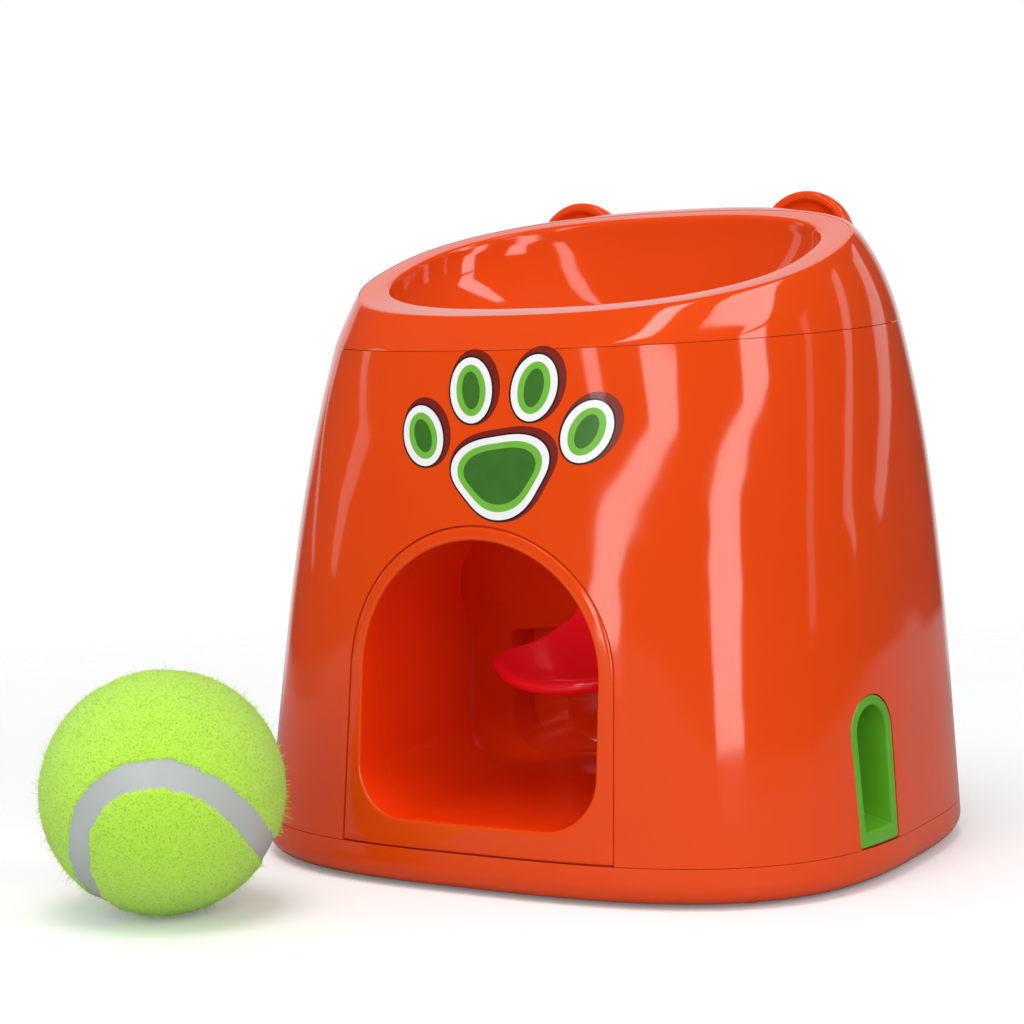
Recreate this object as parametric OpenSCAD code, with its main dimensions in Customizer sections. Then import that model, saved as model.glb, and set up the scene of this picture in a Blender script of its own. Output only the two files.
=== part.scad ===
// Fetch and treat dispenser for dogs, with its ball.
// A ball dropped into the bowl falls on the tongue, which turns a rotor that lets treats
// into the side chute, and rolls out of the mouth.
// Origin: centre of the footprint on the ground. Front is -Y, up is +Z, sizes in mm.

/* [Body] */
// Width of the body just above the tray
body_w = 190.5; // [180:0.5:200]
// Depth of the body just above the tray
body_d = 177; // [168:0.5:186]
// Wall of the orange mouldings
wall = 2.5; // [2:0.1:3]
// How far each side leans in for each mm of height
side_draft = 0.054; // [0.03:0.002:0.06]
// How far the front and the back lean in for each mm of height
front_draft = 0.022; // [0.01:0.002:0.03]
// How far the whole section moves back for each mm of height
lean_back = 0.038; // [0.02:0.002:0.05]
// Height at which the sides start to curl in
dome_z = 60; // [50:1:70]
// Height at which the curl would be complete
dome_top = 190; // [186:1:200]
// How far the curl pulls the sides in by then
dome_in = 23.4; // [18:0.2:26]

/* [Tray and feet] */
// Height of the seam between tray and shell
base_h = 11; // [10:0.5:13]
// Radius of the tray's bottom edge
edge_r = 6; // [4:0.5:8]
// Floor of the tray
floor_t = 2.4; // [2:0.1:3]
// Radius of a rubber foot
foot_r = 9; // [7:0.5:10]
// Height of a rubber foot
foot_h = 2.6; // [2.2:0.1:3]
// How far the feet stand out of the tray
foot_proud = 0.8; // [0.6:0.1:1.2]
// Distance between the outer feet from left to right
foot_gap_x = 116; // [112:1:120]
// Distance between the outer feet from front to back
foot_gap_y = 104; // [100:1:108]

/* [Lid and bowl] */
// Height of the lid's seam over the origin
seam_z = 149.4; // [147:0.2:152]
// Angle of the lid's seam
seam_tilt = 4.1; // [3:0.1:5]
// Height of the rim over the origin
rim_z = 172; // [170:0.5:175]
// Angle of the rim
rim_tilt = 17.9; // [16:0.1:19]
// Width of the rim over its outer edge
rim_w = 145.6; // [140:0.2:148]
// Depth of the rim over its outer edge, measured in plan
rim_d = 100.6; // [97:0.2:104]
// Place of the rim's centre in front of the origin
rim_y = 5.5; // [4:0.5:7]
// Width of the flat rim at the sides
rim_side = 8.8; // [8:0.2:10]
// Width of the flat rim at the front and the back
rim_front = 6; // [5:0.2:7]
// How much further out the rim's outer edge stands at the front
rim_brow = 6; // [0:0.5:8]
// How much higher it stands there than the plane of the rim
rim_lift = 1.4; // [0:0.1:2]
// Height of the bowl's bottom, where the drop neck starts
bowl_z = 137; // [134:0.5:140]
// Depth of the lid's spigot in the shell
spigot_h = 4; // [3:0.5:5]

/* [Ball and its way through] */
// Diameter of the ball
ball_d = 63.5; // [62:0.5:64.5]
// Felt of the ball
felt_t = 3; // [2.4:0.1:3.5]
// Rubber wall of the ball
rubber_t = 3.3; // [3:0.1:4]
// Place of the ball to the left of the dispenser's middle
ball_left = 62; // [50:1:80]
// Place of the ball in front of the dispenser's middle
ball_front = 137.5; // [132:0.5:150]
// Room between ball and drop neck
ball_room = 1.75; // [1.5:0.05:2]
// Distance of the drop neck's axis in front of the origin
neck_y = 17; // [16:0.5:17.5]

/* [Mouth] */
// Width of the mouth opening
mouth_w = 72; // [70:0.5:74]
// Height of the mouth's sill
mouth_sill = 18.7; // [18:0.1:20]
// Height of the mouth opening
mouth_h = 74.8; // [72:0.2:76]
// Radius of the mouth's lower corners
mouth_corner = 14; // [12:0.5:16]
// Frame of the panel beside and over the mouth
panel_side = 4.3; // [4:0.1:5]
// How much wider the panel is at the tray, each side
panel_flare = 1.4; // [1:0.1:2]
// Gap between the panel and the shell
panel_gap = 0.25; // [0.2:0.05:0.4]
// Wall of the throat
liner_t = 2; // [1.8:0.1:2.2]
// Slope of the throat's floor in degrees
floor_slope = 3; // [2:0.5:3.5]

/* [Tongue] */
// Distance of the pivot behind the origin
pivot_y = 28; // [27.5:0.5:30]
// Height of the pivot
pivot_z = 77.5; // [76.5:0.5:79]
// How far the tongue hangs at rest, in degrees
tongue_droop = 22.9; // [22:0.1:24]
// Length of the tongue from the pivot to the middle of its lip
tongue_l = 77; // [74:0.5:78]
// Width over the tips of the lip
tongue_w = 61; // [58:0.5:62]
// Width of the neck
tongue_neck = 29; // [26:0.5:30]
// Thickness of the tongue
tongue_t = 4; // [3.5:0.1:4.5]
// Diameter of the shaft
shaft_d = 6; // [5:0.5:7]

/* [Treats] */
// Distance of the chute's middle in front of the origin
chute_y = 29.8; // [28.5:0.1:31]
// Width of the chute's frame
chute_w = 20.6; // [20:0.1:22]
// Height of the chute's frame top
chute_top = 51; // [49:0.5:53]
// Thickness of the chute's frame
chute_t = 2.9; // [2.5:0.1:3.1]
// Radius of the rotor
rotor_r = 22; // [20:0.5:22.5]
// Length of the rotor
rotor_l = 21.4; // [20:0.2:22]
// Wall of the hopper
hopper_t = 2; // [1.8:0.1:2.2]

/* [Hidden] */
$fn = 64;

orange = "#e24a14";
dark_orange = "#b5350c";
green = "#5ea83a";
red = "#c0101c";
steel = "#b9bdc2";
brass = "#c8a050";
black = "#202224";
felt = "#c9e02f";

sectors = 48;
shell_steps = 12;
seam_gap = 0.15;
fit = 0.1;
bore_room = 0.03;
seam_slope = tan(seam_tilt);
rim_slope = tan(rim_tilt);
dome_power = 2.32;

// Section of the body at a height: a superellipse that gets rounder towards the top
function dome(z) =
    let (t = min(max((z - dome_z) / (dome_top - dome_z), 0), 0.98))
    dome_in * (1 - sqrt(1 - pow(t, dome_power)));
function half_w(z) = body_w / 2 - (z - base_h) * side_draft - dome(z);
function half_d(z) = body_d / 2 - (z - base_h) * front_draft - dome(z);
function roundness(z) = max(3 - z / 170, 2);
function bend(v, n) = sign(v) * pow(abs(v), 2 / n);
function skin(a, z, inset) = [
    (half_w(z) - inset) * bend(cos(a), roundness(z)),
    (half_d(z) - inset) * bend(sin(a), roundness(z)) + lean_back * z,
    z];
// Point of the skin on an inclined plane z = z0 + slope * y, found by halving the error
function plane_z(a, inset, z0, slope, z, tries) =
    tries == 0 ? z
    : plane_z(a, inset, z0, slope, (z + z0 + slope * skin(a, z, inset)[1]) / 2, tries - 1);
function skin_on_plane(a, inset, z0, slope) =
    let (p = skin(a, plane_z(a, inset, z0, slope, z0, slope == 0 ? 0 : 14), inset))
    [p[0], p[1], z0 + slope * p[1]];
function angles() = [for (i = [0 : sectors - 1]) i * 360 / sectors];
function ring(inset, z0, slope) = [for (a = angles()) skin_on_plane(a, inset, z0, slope)];
function mix(a, b, t) = a * (1 - t) + b * t;

// Faces between rings of equal length, the last ring joined to the first if closed
function band(rings, closed) = let (n = len(rings), m = len(rings[0]))
    [for (r = [0 : n - (closed ? 1 : 2)], s = [0 : m - 1]) each
        let (u = (r + 1) % n, t = (s + 1) % m)
        [[r * m + s, u * m + s, u * m + t], [r * m + s, u * m + t, r * m + t]]];
module loop_solid(rings) {
    polyhedron(points = [for (r = rings) each r], faces = band(rings, true), convexity = 8);
}
module stack_solid(rings) {
    m = len(rings[0]);
    last = (len(rings) - 1) * m;
    bottom = [for (s = [0 : m - 1]) s];
    top = [for (s = [m - 1 : -1 : 0]) last + s];
    polyhedron(points = [for (r = rings) each r],
        faces = concat(band(rings, false), [bottom], [top]), convexity = 8);
}

// Shell of the body between two inclined planes
function shell_plane(u) = [mix(base_h + seam_gap / 2, seam_z - seam_gap / 2, u), u * seam_slope];
module shell_wall() {
    planes = [for (i = [0 : shell_steps]) shell_plane(i / shell_steps)];
    outer = [for (p = planes) ring(0, p[0], p[1])];
    inner = [for (i = [shell_steps : -1 : 0]) ring(wall, planes[i][0], planes[i][1])];
    loop_solid(concat(outer, inner));
}
// Solid outline of the lower half of the body, which trims the inserts
module trim_block(inset) {
    steps = 6;
    low = base_h + seam_gap / 2;
    stack_solid([for (i = [0 : steps]) ring(inset, mix(low, dome_z * 2, i / steps), 0)]);
}

// Profile in X and Z, run along Y between two places
module along_y(y0, y1) {
    translate([0, y1, 0]) rotate([90, 0, 0]) linear_extrude(y1 - y0) children();
}
// Profile in Y and Z, run along X between two places
module along_x(x0, x1) {
    translate([x0, 0, 0]) rotate([90, 0, 90]) linear_extrude(x1 - x0) children();
}
module rod_x(x0, x1, y, z, r) {
    translate([x0, y, z]) rotate([0, 90, 0]) cylinder(h = x1 - x0, r = r);
}

// Screws that come up from below
seat_z = 6.2;
head_r = 3;
head_h = 2;
pilot_r = 1.5;
inner_screw_l = 10;
head_seat = foot_proud + head_h + 0.4;
shell_boss_h = 17;
boss_r = 5;
corner = let (z = base_h + shell_boss_h, k = pow(0.5, 1 / roundness(z)))
    [k * (half_w(z) - wall) - 2, k * (half_d(z) - wall) - 2];
corner_y = lean_back * base_h;
corners = [for (i = [-1, 1], j = [-1, 1]) [i * corner[0], corner_y + j * corner[1]]];
frame_x = 42;
frame_front = 20;
frame_back = 42;
frame_foot = 14.5;
liner_legs = [for (i = [-1, 1], y = [-60, -4]) [i * 24, y]];
frame_legs = [for (i = [-1, 1], y = [6 - frame_front, frame_back - 6]) [i * (frame_x + 8.5), y]];
chute_leg = [60, -chute_y];
inner_legs = concat(liner_legs, frame_legs, [chute_leg]);
module screw(at, length) {
    translate([at[0], at[1], head_seat - head_h]) cylinder(h = head_h, r = head_r);
    translate([at[0], at[1], head_seat]) cylinder(h = length, r = pilot_r);
}
module pilot(at, z0, depth) {
    translate([at[0], at[1], z0 - 1]) cylinder(h = depth + 1, r = pilot_r + bore_room);
}

// Tray and feet
outer_feet = [for (i = [-1, 1], j = [-1, 1]) [i * foot_gap_x / 2, j * foot_gap_y / 2]];
feet = concat([[0, 0]], outer_feet);
function tray_ring(inset, r, z0, q) = ring(inset + r * (1 - sin(q)), z0 + r * (1 - cos(q)), 0);
module tray_block(inset, r, z0, z1) {
    rounded = [for (q = [0 : 18 : 90]) tray_ring(inset, r, z0, q)];
    stack_solid(concat(rounded, [ring(inset, z1, 0)]));
}
module tray_lip() {
    lip_t = 1.8;
    lip_h = 3.6;
    lip_room = 0.4;
    out = ring(wall + lip_room, base_h, 0);
    in = ring(wall + lip_room + lip_t, base_h, 0);
    up = base_h + lip_h;
    down = foot_proud + floor_t - 0.5;
    function at(r, z) = [for (p = r) [p[0], p[1], z]];
    difference() {
        loop_solid([at(out, down), at(out, up), at(in, up), at(in, down)]);
        translate([body_w / 4, -chute_y - chute_w / 2 - 1, base_h - 1])
            cube([body_w / 2, chute_w + 2, lip_h + 2]);
        for (p = corners) translate([p[0], p[1], base_h - seam_gap / 2])
            cylinder(h = lip_h + 1, r = boss_r + lip_room);
    }
}
module base_tray() {
    color(orange) difference() {
        union() {
            difference() {
                tray_block(0, edge_r, foot_proud, base_h - seam_gap / 2);
                tray_block(wall, edge_r - wall, foot_proud + floor_t, base_h + 1);
            }
            tray_lip();
            for (p = corners) translate([p[0], p[1], foot_proud + 1])
                cylinder(h = base_h - seam_gap / 2 - foot_proud - 1, r = boss_r);
            for (p = inner_legs) translate([p[0], p[1], foot_proud + 1])
                cylinder(h = seat_z - foot_proud - 1, r = boss_r);
            for (p = feet) translate([p[0], p[1], foot_proud + 1])
                cylinder(h = foot_h + 0.8, r = foot_r + wall);
        }
        for (p = feet) translate([p[0], p[1], 0]) cylinder(h = foot_h, r = foot_r + fit);
        for (p = concat(corners, inner_legs)) translate([p[0], p[1], 0]) {
            cylinder(h = head_seat, r = head_r + 0.3);
            cylinder(h = base_h + 5, r = pilot_r + 0.2);
        }
    }
}
module foot_pads() {
    groove = 0.6;
    color(black) for (p = feet) translate([p[0], p[1], 0]) difference() {
        cylinder(h = foot_h, r = foot_r);
        translate([0, 0, -1]) difference() {
            cylinder(h = groove + 1, r = foot_r * 0.7);
            cylinder(h = groove + 2, r = foot_r * 0.55);
        }
    }
}
module base_screws() {
    color(steel) for (p = corners) screw(p, base_h + shell_boss_h - head_seat - 3);
}
module inner_screws() {
    color(steel) for (p = inner_legs) screw(p, inner_screw_l);
}

// Mouth: an arch on upright sides, with big lower corners, seen from the front
mouth_r = mouth_w / 2;
mouth_mid = mouth_sill + mouth_h - mouth_r;
module mouth_profile(grow) {
    low = mouth_sill - grow;
    r = mouth_corner + grow;
    half = mouth_r + grow;
    translate([0, mouth_mid]) circle(half);
    translate([-half, low + r]) square([2 * half, mouth_mid - low - r]);
    translate([r - half, low]) square([2 * (half - r), r + 1]);
    for (i = [-1, 1]) translate([i * (half - r), low + r]) circle(r);
}
module panel_profile(grow) {
    r = mouth_r + panel_side + grow;
    translate([0, mouth_mid]) circle(r);
    polygon([[-r - panel_flare, 0], [r + panel_flare, 0], [r, mouth_mid], [-r, mouth_mid]]);
}
// The throat's floor rises from the sill, so its passage is tilted about the sill
mouth_y = lean_back * mouth_sill - half_d(mouth_sill);
module tilted() {
    translate([0, mouth_y, mouth_sill]) rotate([floor_slope, 0, 0])
        translate([0, -mouth_y, -mouth_sill]) children();
}
sleeve_y = mouth_y + 15;
cut_from = mouth_y - 20;
cut_to = sleeve_y + 12;
module chute_profile(grow) {
    r = chute_w / 2 + grow;
    translate([-chute_y, chute_top - chute_w / 2]) circle(r);
    translate([-chute_y - r, 0]) square([2 * r, chute_top - chute_w / 2]);
}
module body_shell() {
    color(orange) difference() {
        union() {
            shell_wall();
            for (p = corners) translate([p[0], p[1], base_h + seam_gap / 2])
                cylinder(h = shell_boss_h, r = boss_r);
        }
        along_y(cut_from, cut_to) panel_profile(panel_gap);
        along_x(body_w / 3, body_w) chute_profile(panel_gap);
        for (p = corners) pilot(p, base_h, shell_boss_h - 2);
    }
}
module mouth_panel() {
    color(orange) difference() {
        union() {
            intersection() {
                shell_wall();
                along_y(cut_from, cut_to) panel_profile(0);
            }
            intersection() {
                trim_block(wall / 2);
                tilted() along_y(cut_from, sleeve_y) mouth_profile(liner_t);
            }
        }
        tilted() along_y(cut_from, cut_to) mouth_profile(0);
    }
}

// Throat: the mouth's passage, a round chamber under the drop neck and a recess behind it
back_floor = mouth_sill + (-neck_y - mouth_y) * tan(floor_slope) - 0.4;
chamber_r = mouth_r + 0.8;
recess_floor = back_floor + 0.8;
recess_top = 60;
recess_back = 12;
recess_half = 33.7;
recess_corner = 13;
chimney_top = bowl_z - 36.5;
neck_lap = 3;
module chamber(grow, top) {
    r = chamber_r + grow;
    low = back_floor - grow;
    f = mouth_corner + grow;
    translate([0, -neck_y, 0]) rotate_extrude() {
        translate([0, low + f]) square([r, top - low - f]);
        translate([0, low]) square([r - f, f + 1]);
        intersection() {
            translate([r - f, low + f]) circle(f);
            translate([0, low]) square([r + 1, f + 1]);
        }
    }
}
module recess_profile(grow) {
    low = recess_floor - grow;
    half = recess_half + grow;
    r = recess_corner + grow;
    translate([-half, low + r]) square([2 * half, recess_top + grow - low - r]);
    translate([r - half, low]) square([2 * (half - r), r + 1]);
    for (i = [-1, 1]) translate([i * (half - r), low + r]) circle(r);
}
module throat_liner() {
    slot_half = tongue_neck / 2 + 2.5;
    color(dark_orange) difference() {
        union() {
            tilted() along_y(sleeve_y + fit, -neck_y) mouth_profile(liner_t);
            chamber(liner_t, chimney_top);
            along_y(-neck_y, recess_back + liner_t) recess_profile(liner_t);
            for (p = liner_legs) translate([p[0], p[1], seat_z])
                cylinder(h = back_floor - seat_z, r = boss_r - 1);
        }
        tilted() along_y(sleeve_y - 1, -neck_y) mouth_profile(0);
        chamber(0, chimney_top + 1);
        along_y(-neck_y - 0.01, recess_back) recess_profile(0);
        translate([-slot_half, 0, recess_top])
            cube([2 * slot_half, pivot_y, chimney_top - 8 - recess_top]);
        for (p = liner_legs) pilot(p, seat_z, 9);
    }
}

// Uprights that carry the shaft; the right one also carries the hopper
frame_t = 3.5;
bush_r = 5;
flange_r = 7.4;
head_ring = 11;
spring_peg_r = 9.6;
foot_plate = 3.6;
module side_frame_web() {
    knee = seat_z + frame_foot;
    polygon([[-frame_front, seat_z], [frame_back, seat_z], [frame_back, knee],
        [pivot_y + head_ring, pivot_z], [pivot_y - head_ring, pivot_z], [-frame_front, knee]]);
    translate([pivot_y, pivot_z]) circle(head_ring);
}
module side_frame_window() {
    low = seat_z + frame_foot;
    high = low + 21;
    polygon([[pivot_y - 22, low], [pivot_y + 2, low], [pivot_y, high], [pivot_y - 11, high]]);
}
module side_frame() {
    difference() {
        union() {
            along_x(frame_x, frame_x + frame_t) side_frame_web();
            translate([frame_x, -frame_front, seat_z])
                cube([frame_foot, frame_front + frame_back, foot_plate]);
            for (p = frame_legs) if (p[0] > 0) translate([p[0], p[1], seat_z])
                cylinder(h = 9, r = boss_r - 0.5);
        }
        along_x(frame_x - 1, frame_x + frame_t + 1) side_frame_window();
        rod_x(frame_x - 1, frame_x + frame_t + 1, pivot_y, pivot_z, bush_r + bore_room);
        for (p = frame_legs) if (p[0] > 0) pilot(p, seat_z, 8);
    }
}
module side_frame_left() {
    color(black) mirror([1, 0, 0]) side_frame();
}
module side_frame_right() {
    tab_low = pivot_z + bush_r + 1;
    tab_high = hopper_holes[0][1] + 6;
    color(black) difference() {
        union() {
            side_frame();
            along_x(frame_x, frame_x + frame_t)
                polygon([[pivot_y - 8, tab_low], [pivot_y + 8, tab_low], [pivot_y + 11, tab_high],
                    [pivot_y - 20, tab_high], [pivot_y - 20, tab_high - 13]]);
        }
        rod_x(frame_x - 1, frame_x + frame_t + 1, pivot_y + spring_peg_r, pivot_z, wire_r + 0.15);
        for (p = hopper_holes) rod_x(frame_x - 1, frame_x + frame_t + 1, p[0], p[1], pilot_r + 0.2);
    }
}
module bushing() {
    difference() {
        union() {
            rod_x(frame_x - 1.2, frame_x, pivot_y, pivot_z, flange_r);
            rod_x(frame_x - 1.2, frame_x + frame_t, pivot_y, pivot_z, bush_r);
        }
        rod_x(frame_x - 5, frame_x + frame_t + 5, pivot_y, pivot_z, shaft_d / 2 + bore_room);
    }
}
module bushing_left() {
    color(brass) mirror([1, 0, 0]) bushing();
}
module bushing_right() {
    color(brass) bushing();
}

// Hopper and rotor, on the right of the throat
hopper_x = frame_x + frame_t + fit;
hopper_in = hopper_x + 3.6;
rotor_x = hopper_in + 0.4;
hopper_out = rotor_x + rotor_l + 0.4;
rotor_room = 0.5;
housing_r = rotor_r + rotor_room;
bin_top = seam_z - spigot_h - 6;
bin_front = 18;
bin_back = 34;
bin_front_z = 118;
bin_back_z = 112;
window_from = 93;
window_to = 150;
hopper_holes = [[pivot_y + 5, pivot_z + 20], [pivot_y - 14, pivot_z + 17]];
// Sector of a circle about the shaft, with angles from +Z towards the front
module wedge(from, to, r) {
    polygon(concat([[0, 0]], [for (a = [from : (to - from) / 6 : to]) r * [-sin(a), cos(a)]]));
}
module bin_profile(grow) {
    polygon([[-bin_front - grow, bin_top], [-bin_front - grow, bin_front_z - grow / 2],
        [pivot_y - rotor_r - grow, pivot_z + 4], [pivot_y, pivot_z],
        [pivot_y + 4 + grow, pivot_z + rotor_r + 2], [bin_back + grow, bin_back_z],
        [bin_back + grow, bin_top]]);
}
module treat_hopper() {
    color(orange) difference() {
        along_x(hopper_x, hopper_out + hopper_t) union() {
            bin_profile(hopper_t);
            translate([pivot_y, pivot_z]) circle(housing_r + hopper_t);
        }
        along_x(hopper_in, hopper_out) difference() {
            bin_profile(0);
            translate([pivot_y, pivot_z]) rotate(-100) wedge(0, 100, rotor_r + 4);
        }
        rod_x(hopper_in, hopper_out, pivot_y, pivot_z, housing_r);
        along_x(hopper_in, hopper_out) translate([pivot_y, pivot_z])
            wedge(window_from, window_to, housing_r + hopper_t + 4);
        translate([hopper_in, -bin_front, bin_back_z])
            cube([hopper_out - hopper_in, bin_front + bin_back, bin_top]);
        rod_x(hopper_x - 1, hopper_out + hopper_t + 1, pivot_y, pivot_z, shaft_d / 2 + 0.3);
        for (p = hopper_holes) rod_x(hopper_x - 1, hopper_in - 0.6, p[0], p[1], pilot_r + bore_room);
    }
}
module hopper_screws() {
    color(steel) for (p = hopper_holes) {
        rod_x(frame_x - head_h, frame_x - 0.02, p[0], p[1], head_r);
        rod_x(frame_x - 0.02, hopper_in - 0.8, p[0], p[1], pilot_r);
    }
}
pocket_from = 48;
pocket_to = 88;
pocket_mid = (pocket_from + pocket_to) / 2;
module metering_rotor() {
    color(green) difference() {
        rod_x(rotor_x, rotor_x + rotor_l, pivot_y, pivot_z, rotor_r);
        rod_x(rotor_x - 1, rotor_x + rotor_l + 1, pivot_y, pivot_z, shaft_d / 2 + bore_room);
        along_x(rotor_x + 2, rotor_x + rotor_l - 2) translate([pivot_y, pivot_z]) difference() {
            wedge(pocket_from, pocket_to, rotor_r + 6);
            circle(rotor_r / 2);
        }
        hub_screw_at(rotor_x + rotor_l / 2, pocket_mid)
            cylinder(h = rotor_r, r = pilot_r + bore_room);
    }
}
// Radial place on the shaft, at an angle from +Z towards the front
module hub_screw_at(x, angle) {
    translate([x, pivot_y, pivot_z]) rotate([angle, 0, 0]) children();
}
tongue_screw = -60;
module hub_screws() {
    start = shaft_d / 2 + 0.02;
    color(steel) {
        hub_screw_at(0, tongue_screw) translate([0, 0, start])
            cylinder(h = hub_r - start - 0.5, r = pilot_r);
        hub_screw_at(rotor_x + rotor_l / 2, pocket_mid) translate([0, 0, start])
            cylinder(h = rotor_r / 2 - start - 0.5, r = pilot_r);
    }
}
shaft_x0 = -frame_x - frame_t - 3.5;
shaft_x1 = hopper_out + hopper_t + 3.5;
module cross_shaft() {
    color(steel) rod_x(shaft_x0, shaft_x1, pivot_y, pivot_z, shaft_d / 2);
}
module shaft_clips() {
    clip_t = 0.9;
    clip_inset = 2.2;
    color(steel) for (x = [shaft_x0 + clip_inset, shaft_x1 - clip_inset - clip_t]) difference() {
        rod_x(x, x + clip_t, pivot_y, pivot_z, shaft_d / 2 + 2.4);
        rod_x(x - 1, x + clip_t + 1, pivot_y, pivot_z, shaft_d / 2 + bore_room);
    }
}

// Tongue: a neck that flares into a crescent lip, drawn flat, with its length along +Y
hub_r = 8;
hub_half = tongue_neck / 2 - 1;
lug_w = 4.5;
lip_r = 32;
tip_r = 2.2;
tip_s = 54;
module tongue_profile() {
    tip_x = tongue_w / 2 - tip_r;
    flare_r = 21;
    flare_s = tip_s - sqrt(pow(flare_r, 2) - pow(tongue_neck / 2 + flare_r - tip_x - tip_r, 2));
    translate([-tongue_neck / 2 + 1, 0]) square([tongue_neck - 2, flare_s + 2]);
    intersection() {
        translate([0, tongue_l - lip_r]) circle(lip_r);
        translate([-tip_x, flare_s]) square([2 * tip_x, tongue_l]);
        difference() {
            translate([-tip_x, flare_s]) square([2 * tip_x, tongue_l]);
            for (i = [-1, 1]) translate([i * (tongue_neck / 2 + flare_r), flare_s]) circle(flare_r);
        }
    }
    for (i = [-1, 1]) translate([i * tip_x, tip_s - 0.4]) circle(tip_r);
}
module tongue_frame() {
    translate([0, pivot_y, pivot_z]) rotate([tongue_droop, 0, 0]) mirror([0, 1, 0]) children();
}
module tongue() {
    top = 1.5;
    color(red) difference() {
        union() {
            tongue_frame() translate([0, 0, top - tongue_t]) linear_extrude(tongue_t) tongue_profile();
            rod_x(-hub_half, hub_half, pivot_y, pivot_z, hub_r);
            tongue_frame() translate([hub_half - 1, 11, top - tongue_t]) cube([lug_w, 4, tongue_t]);
        }
        rod_x(-hub_half - 1, hub_half + 1, pivot_y, pivot_z, shaft_d / 2 + bore_room);
        hub_screw_at(0, tongue_screw) cylinder(h = hub_r + 2, r = pilot_r + bore_room);
    }
}

// Return spring: a coil on the shaft, one leg under the tongue's lug, one in the right upright
wire_r = 0.6;
coil_r = 5.4;
coil_turns = 7;
coil_x0 = 15;
coil_pitch = 1.7;
coil_x1 = coil_x0 + coil_turns * coil_pitch;
leg_l = 14;
leg_angle = 180 + tongue_droop;
function coil_point(t) = let (a = leg_angle + 90 + t * 360)
    [coil_x0 + t * coil_pitch, pivot_y + coil_r * cos(a), pivot_z + coil_r * sin(a)];
module return_spring() {
    along = [0, cos(leg_angle), sin(leg_angle)];
    start = coil_point(0);
    turns = coil_turns + 1 - (leg_angle + 90) % 360 / 360;
    end = coil_point(turns);
    peg_y = pivot_y + spring_peg_r;
    path = concat([for (d = [leg_l, leg_l / 2, leg_l / 5]) start + d * along],
        [for (t = [0 : 1 / 9 : turns]) coil_point(t)],
        [[end[0] + 0.9, peg_y - 1.2, pivot_z], [end[0] + 1.9, peg_y, pivot_z],
            [frame_x - 4, peg_y, pivot_z], [frame_x + frame_t - 1, peg_y, pivot_z]]);
    color(steel) tube(path, wire_r, 6);
}
function unit(v) = v / norm(v);
module tube(path, r, sides) {
    n = len(path);
    tangents = [for (i = [0 : n - 1]) unit(path[min(i + 1, n - 1)] - path[max(i - 1, 0)])];
    rings = [for (i = [0 : n - 1])
        let (t = tangents[i], ref = abs(t[0]) > 0.9 ? [0, 1, 0] : [1, 0, 0],
            u = unit(cross(t, ref)), v = cross(t, u))
        [for (s = [0 : sides - 1]) let (q = 360 * s / sides) path[i] + r * (cos(q) * u + sin(q) * v)]];
    stack_solid(rings);
}

// Green chute: an arched tube through the shell, a corner and a trough under the rotor
tube_x = hopper_out - 1;
tube_r = chute_w / 2 - chute_t;
tube_mid = chute_top - chute_w / 2;
tube_low = base_h + panel_gap;
chute_floor = 15.4;
ramp_slope = 18;
trough_t = 1.8;
trough_slope = 24;
trough_l = 45;
trough_h = 9;
trough_z = 27;
corner_low = 22;
corner_high = 48;
chute_front = -chute_y - chute_w / 2;
chute_back = -chute_y + chute_w / 2;
module trough(inset, length, height) {
    translate([hopper_in - trough_t + inset, chute_back - 1, trough_z]) rotate([trough_slope, 0, 0])
        translate([0, inset == 0 ? 0 : -8, inset])
        cube([tube_x - hopper_in + trough_t - 2 * inset, length - inset, height]);
}
module chute_outside() {
    intersection() {
        trim_block(0);
        along_x(tube_x, body_w) difference() {
            chute_profile(0);
            translate([-100, 0]) square([200, tube_low]);
        }
    }
    translate([hopper_in - trough_t, chute_front, corner_low])
        cube([tube_x - hopper_in + trough_t, chute_w, corner_high - corner_low]);
    translate([chute_leg[0], chute_leg[1], seat_z]) cylinder(h = corner_low + 1 - seat_z, r = boss_r - 1);
    trough(0, trough_l, trough_h);
}
module chute_inside() {
    along_x(tube_x - 0.01, body_w) union() {
        translate([-chute_y, tube_mid]) circle(tube_r);
        translate([-chute_y - tube_r, 0]) square([2 * tube_r, tube_mid]);
    }
    translate([hopper_in, chute_front + trough_t, corner_low + trough_t])
        cube([tube_x - hopper_in + 1, chute_w - 2 * trough_t, 2 * corner_high]);
    trough(trough_t, trough_l + 8, 2 * trough_h);
    pilot(chute_leg, seat_z, 11);
}
module ramp() {
    intersection() {
        trim_block(0);
        along_x(tube_x - 0.5, body_w) chute_profile(-chute_t);
        translate([half_w(chute_floor), chute_front, chute_floor]) rotate([0, ramp_slope, 0])
            translate([-60, 0, -40]) cube([60, chute_w, 40]);
        translate([0, -100, tube_low]) cube([200, 200, 60]);
    }
}
module treat_chute() {
    color(green) difference() {
        union() {
            difference() {
                chute_outside();
                chute_inside();
            }
            ramp();
        }
        pilot(chute_leg, seat_z, 11);
    }
}

// Lid: skin from its seam to the rim, flat rim, bowl and drop neck
neck_r = ball_d / 2 + ball_room;
lid_steps = 7;
bowl_steps = 7;
rim_round = 2.42;
shoulder = 2.6;
brow_power = 1.6;
rim_half_w = rim_w / 2;
rim_half_d = rim_d / 2;
function rim_point(a, side, front) =
    let (y = (rim_half_d - front) * bend(sin(a), rim_round) - rim_y)
    [(rim_half_w - side) * bend(cos(a), rim_round), y, rim_z + rim_slope * y];
function rim_ring(side, front, drop) = [for (a = angles()) rim_point(a, side, front) - [0, 0, drop]];
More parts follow.
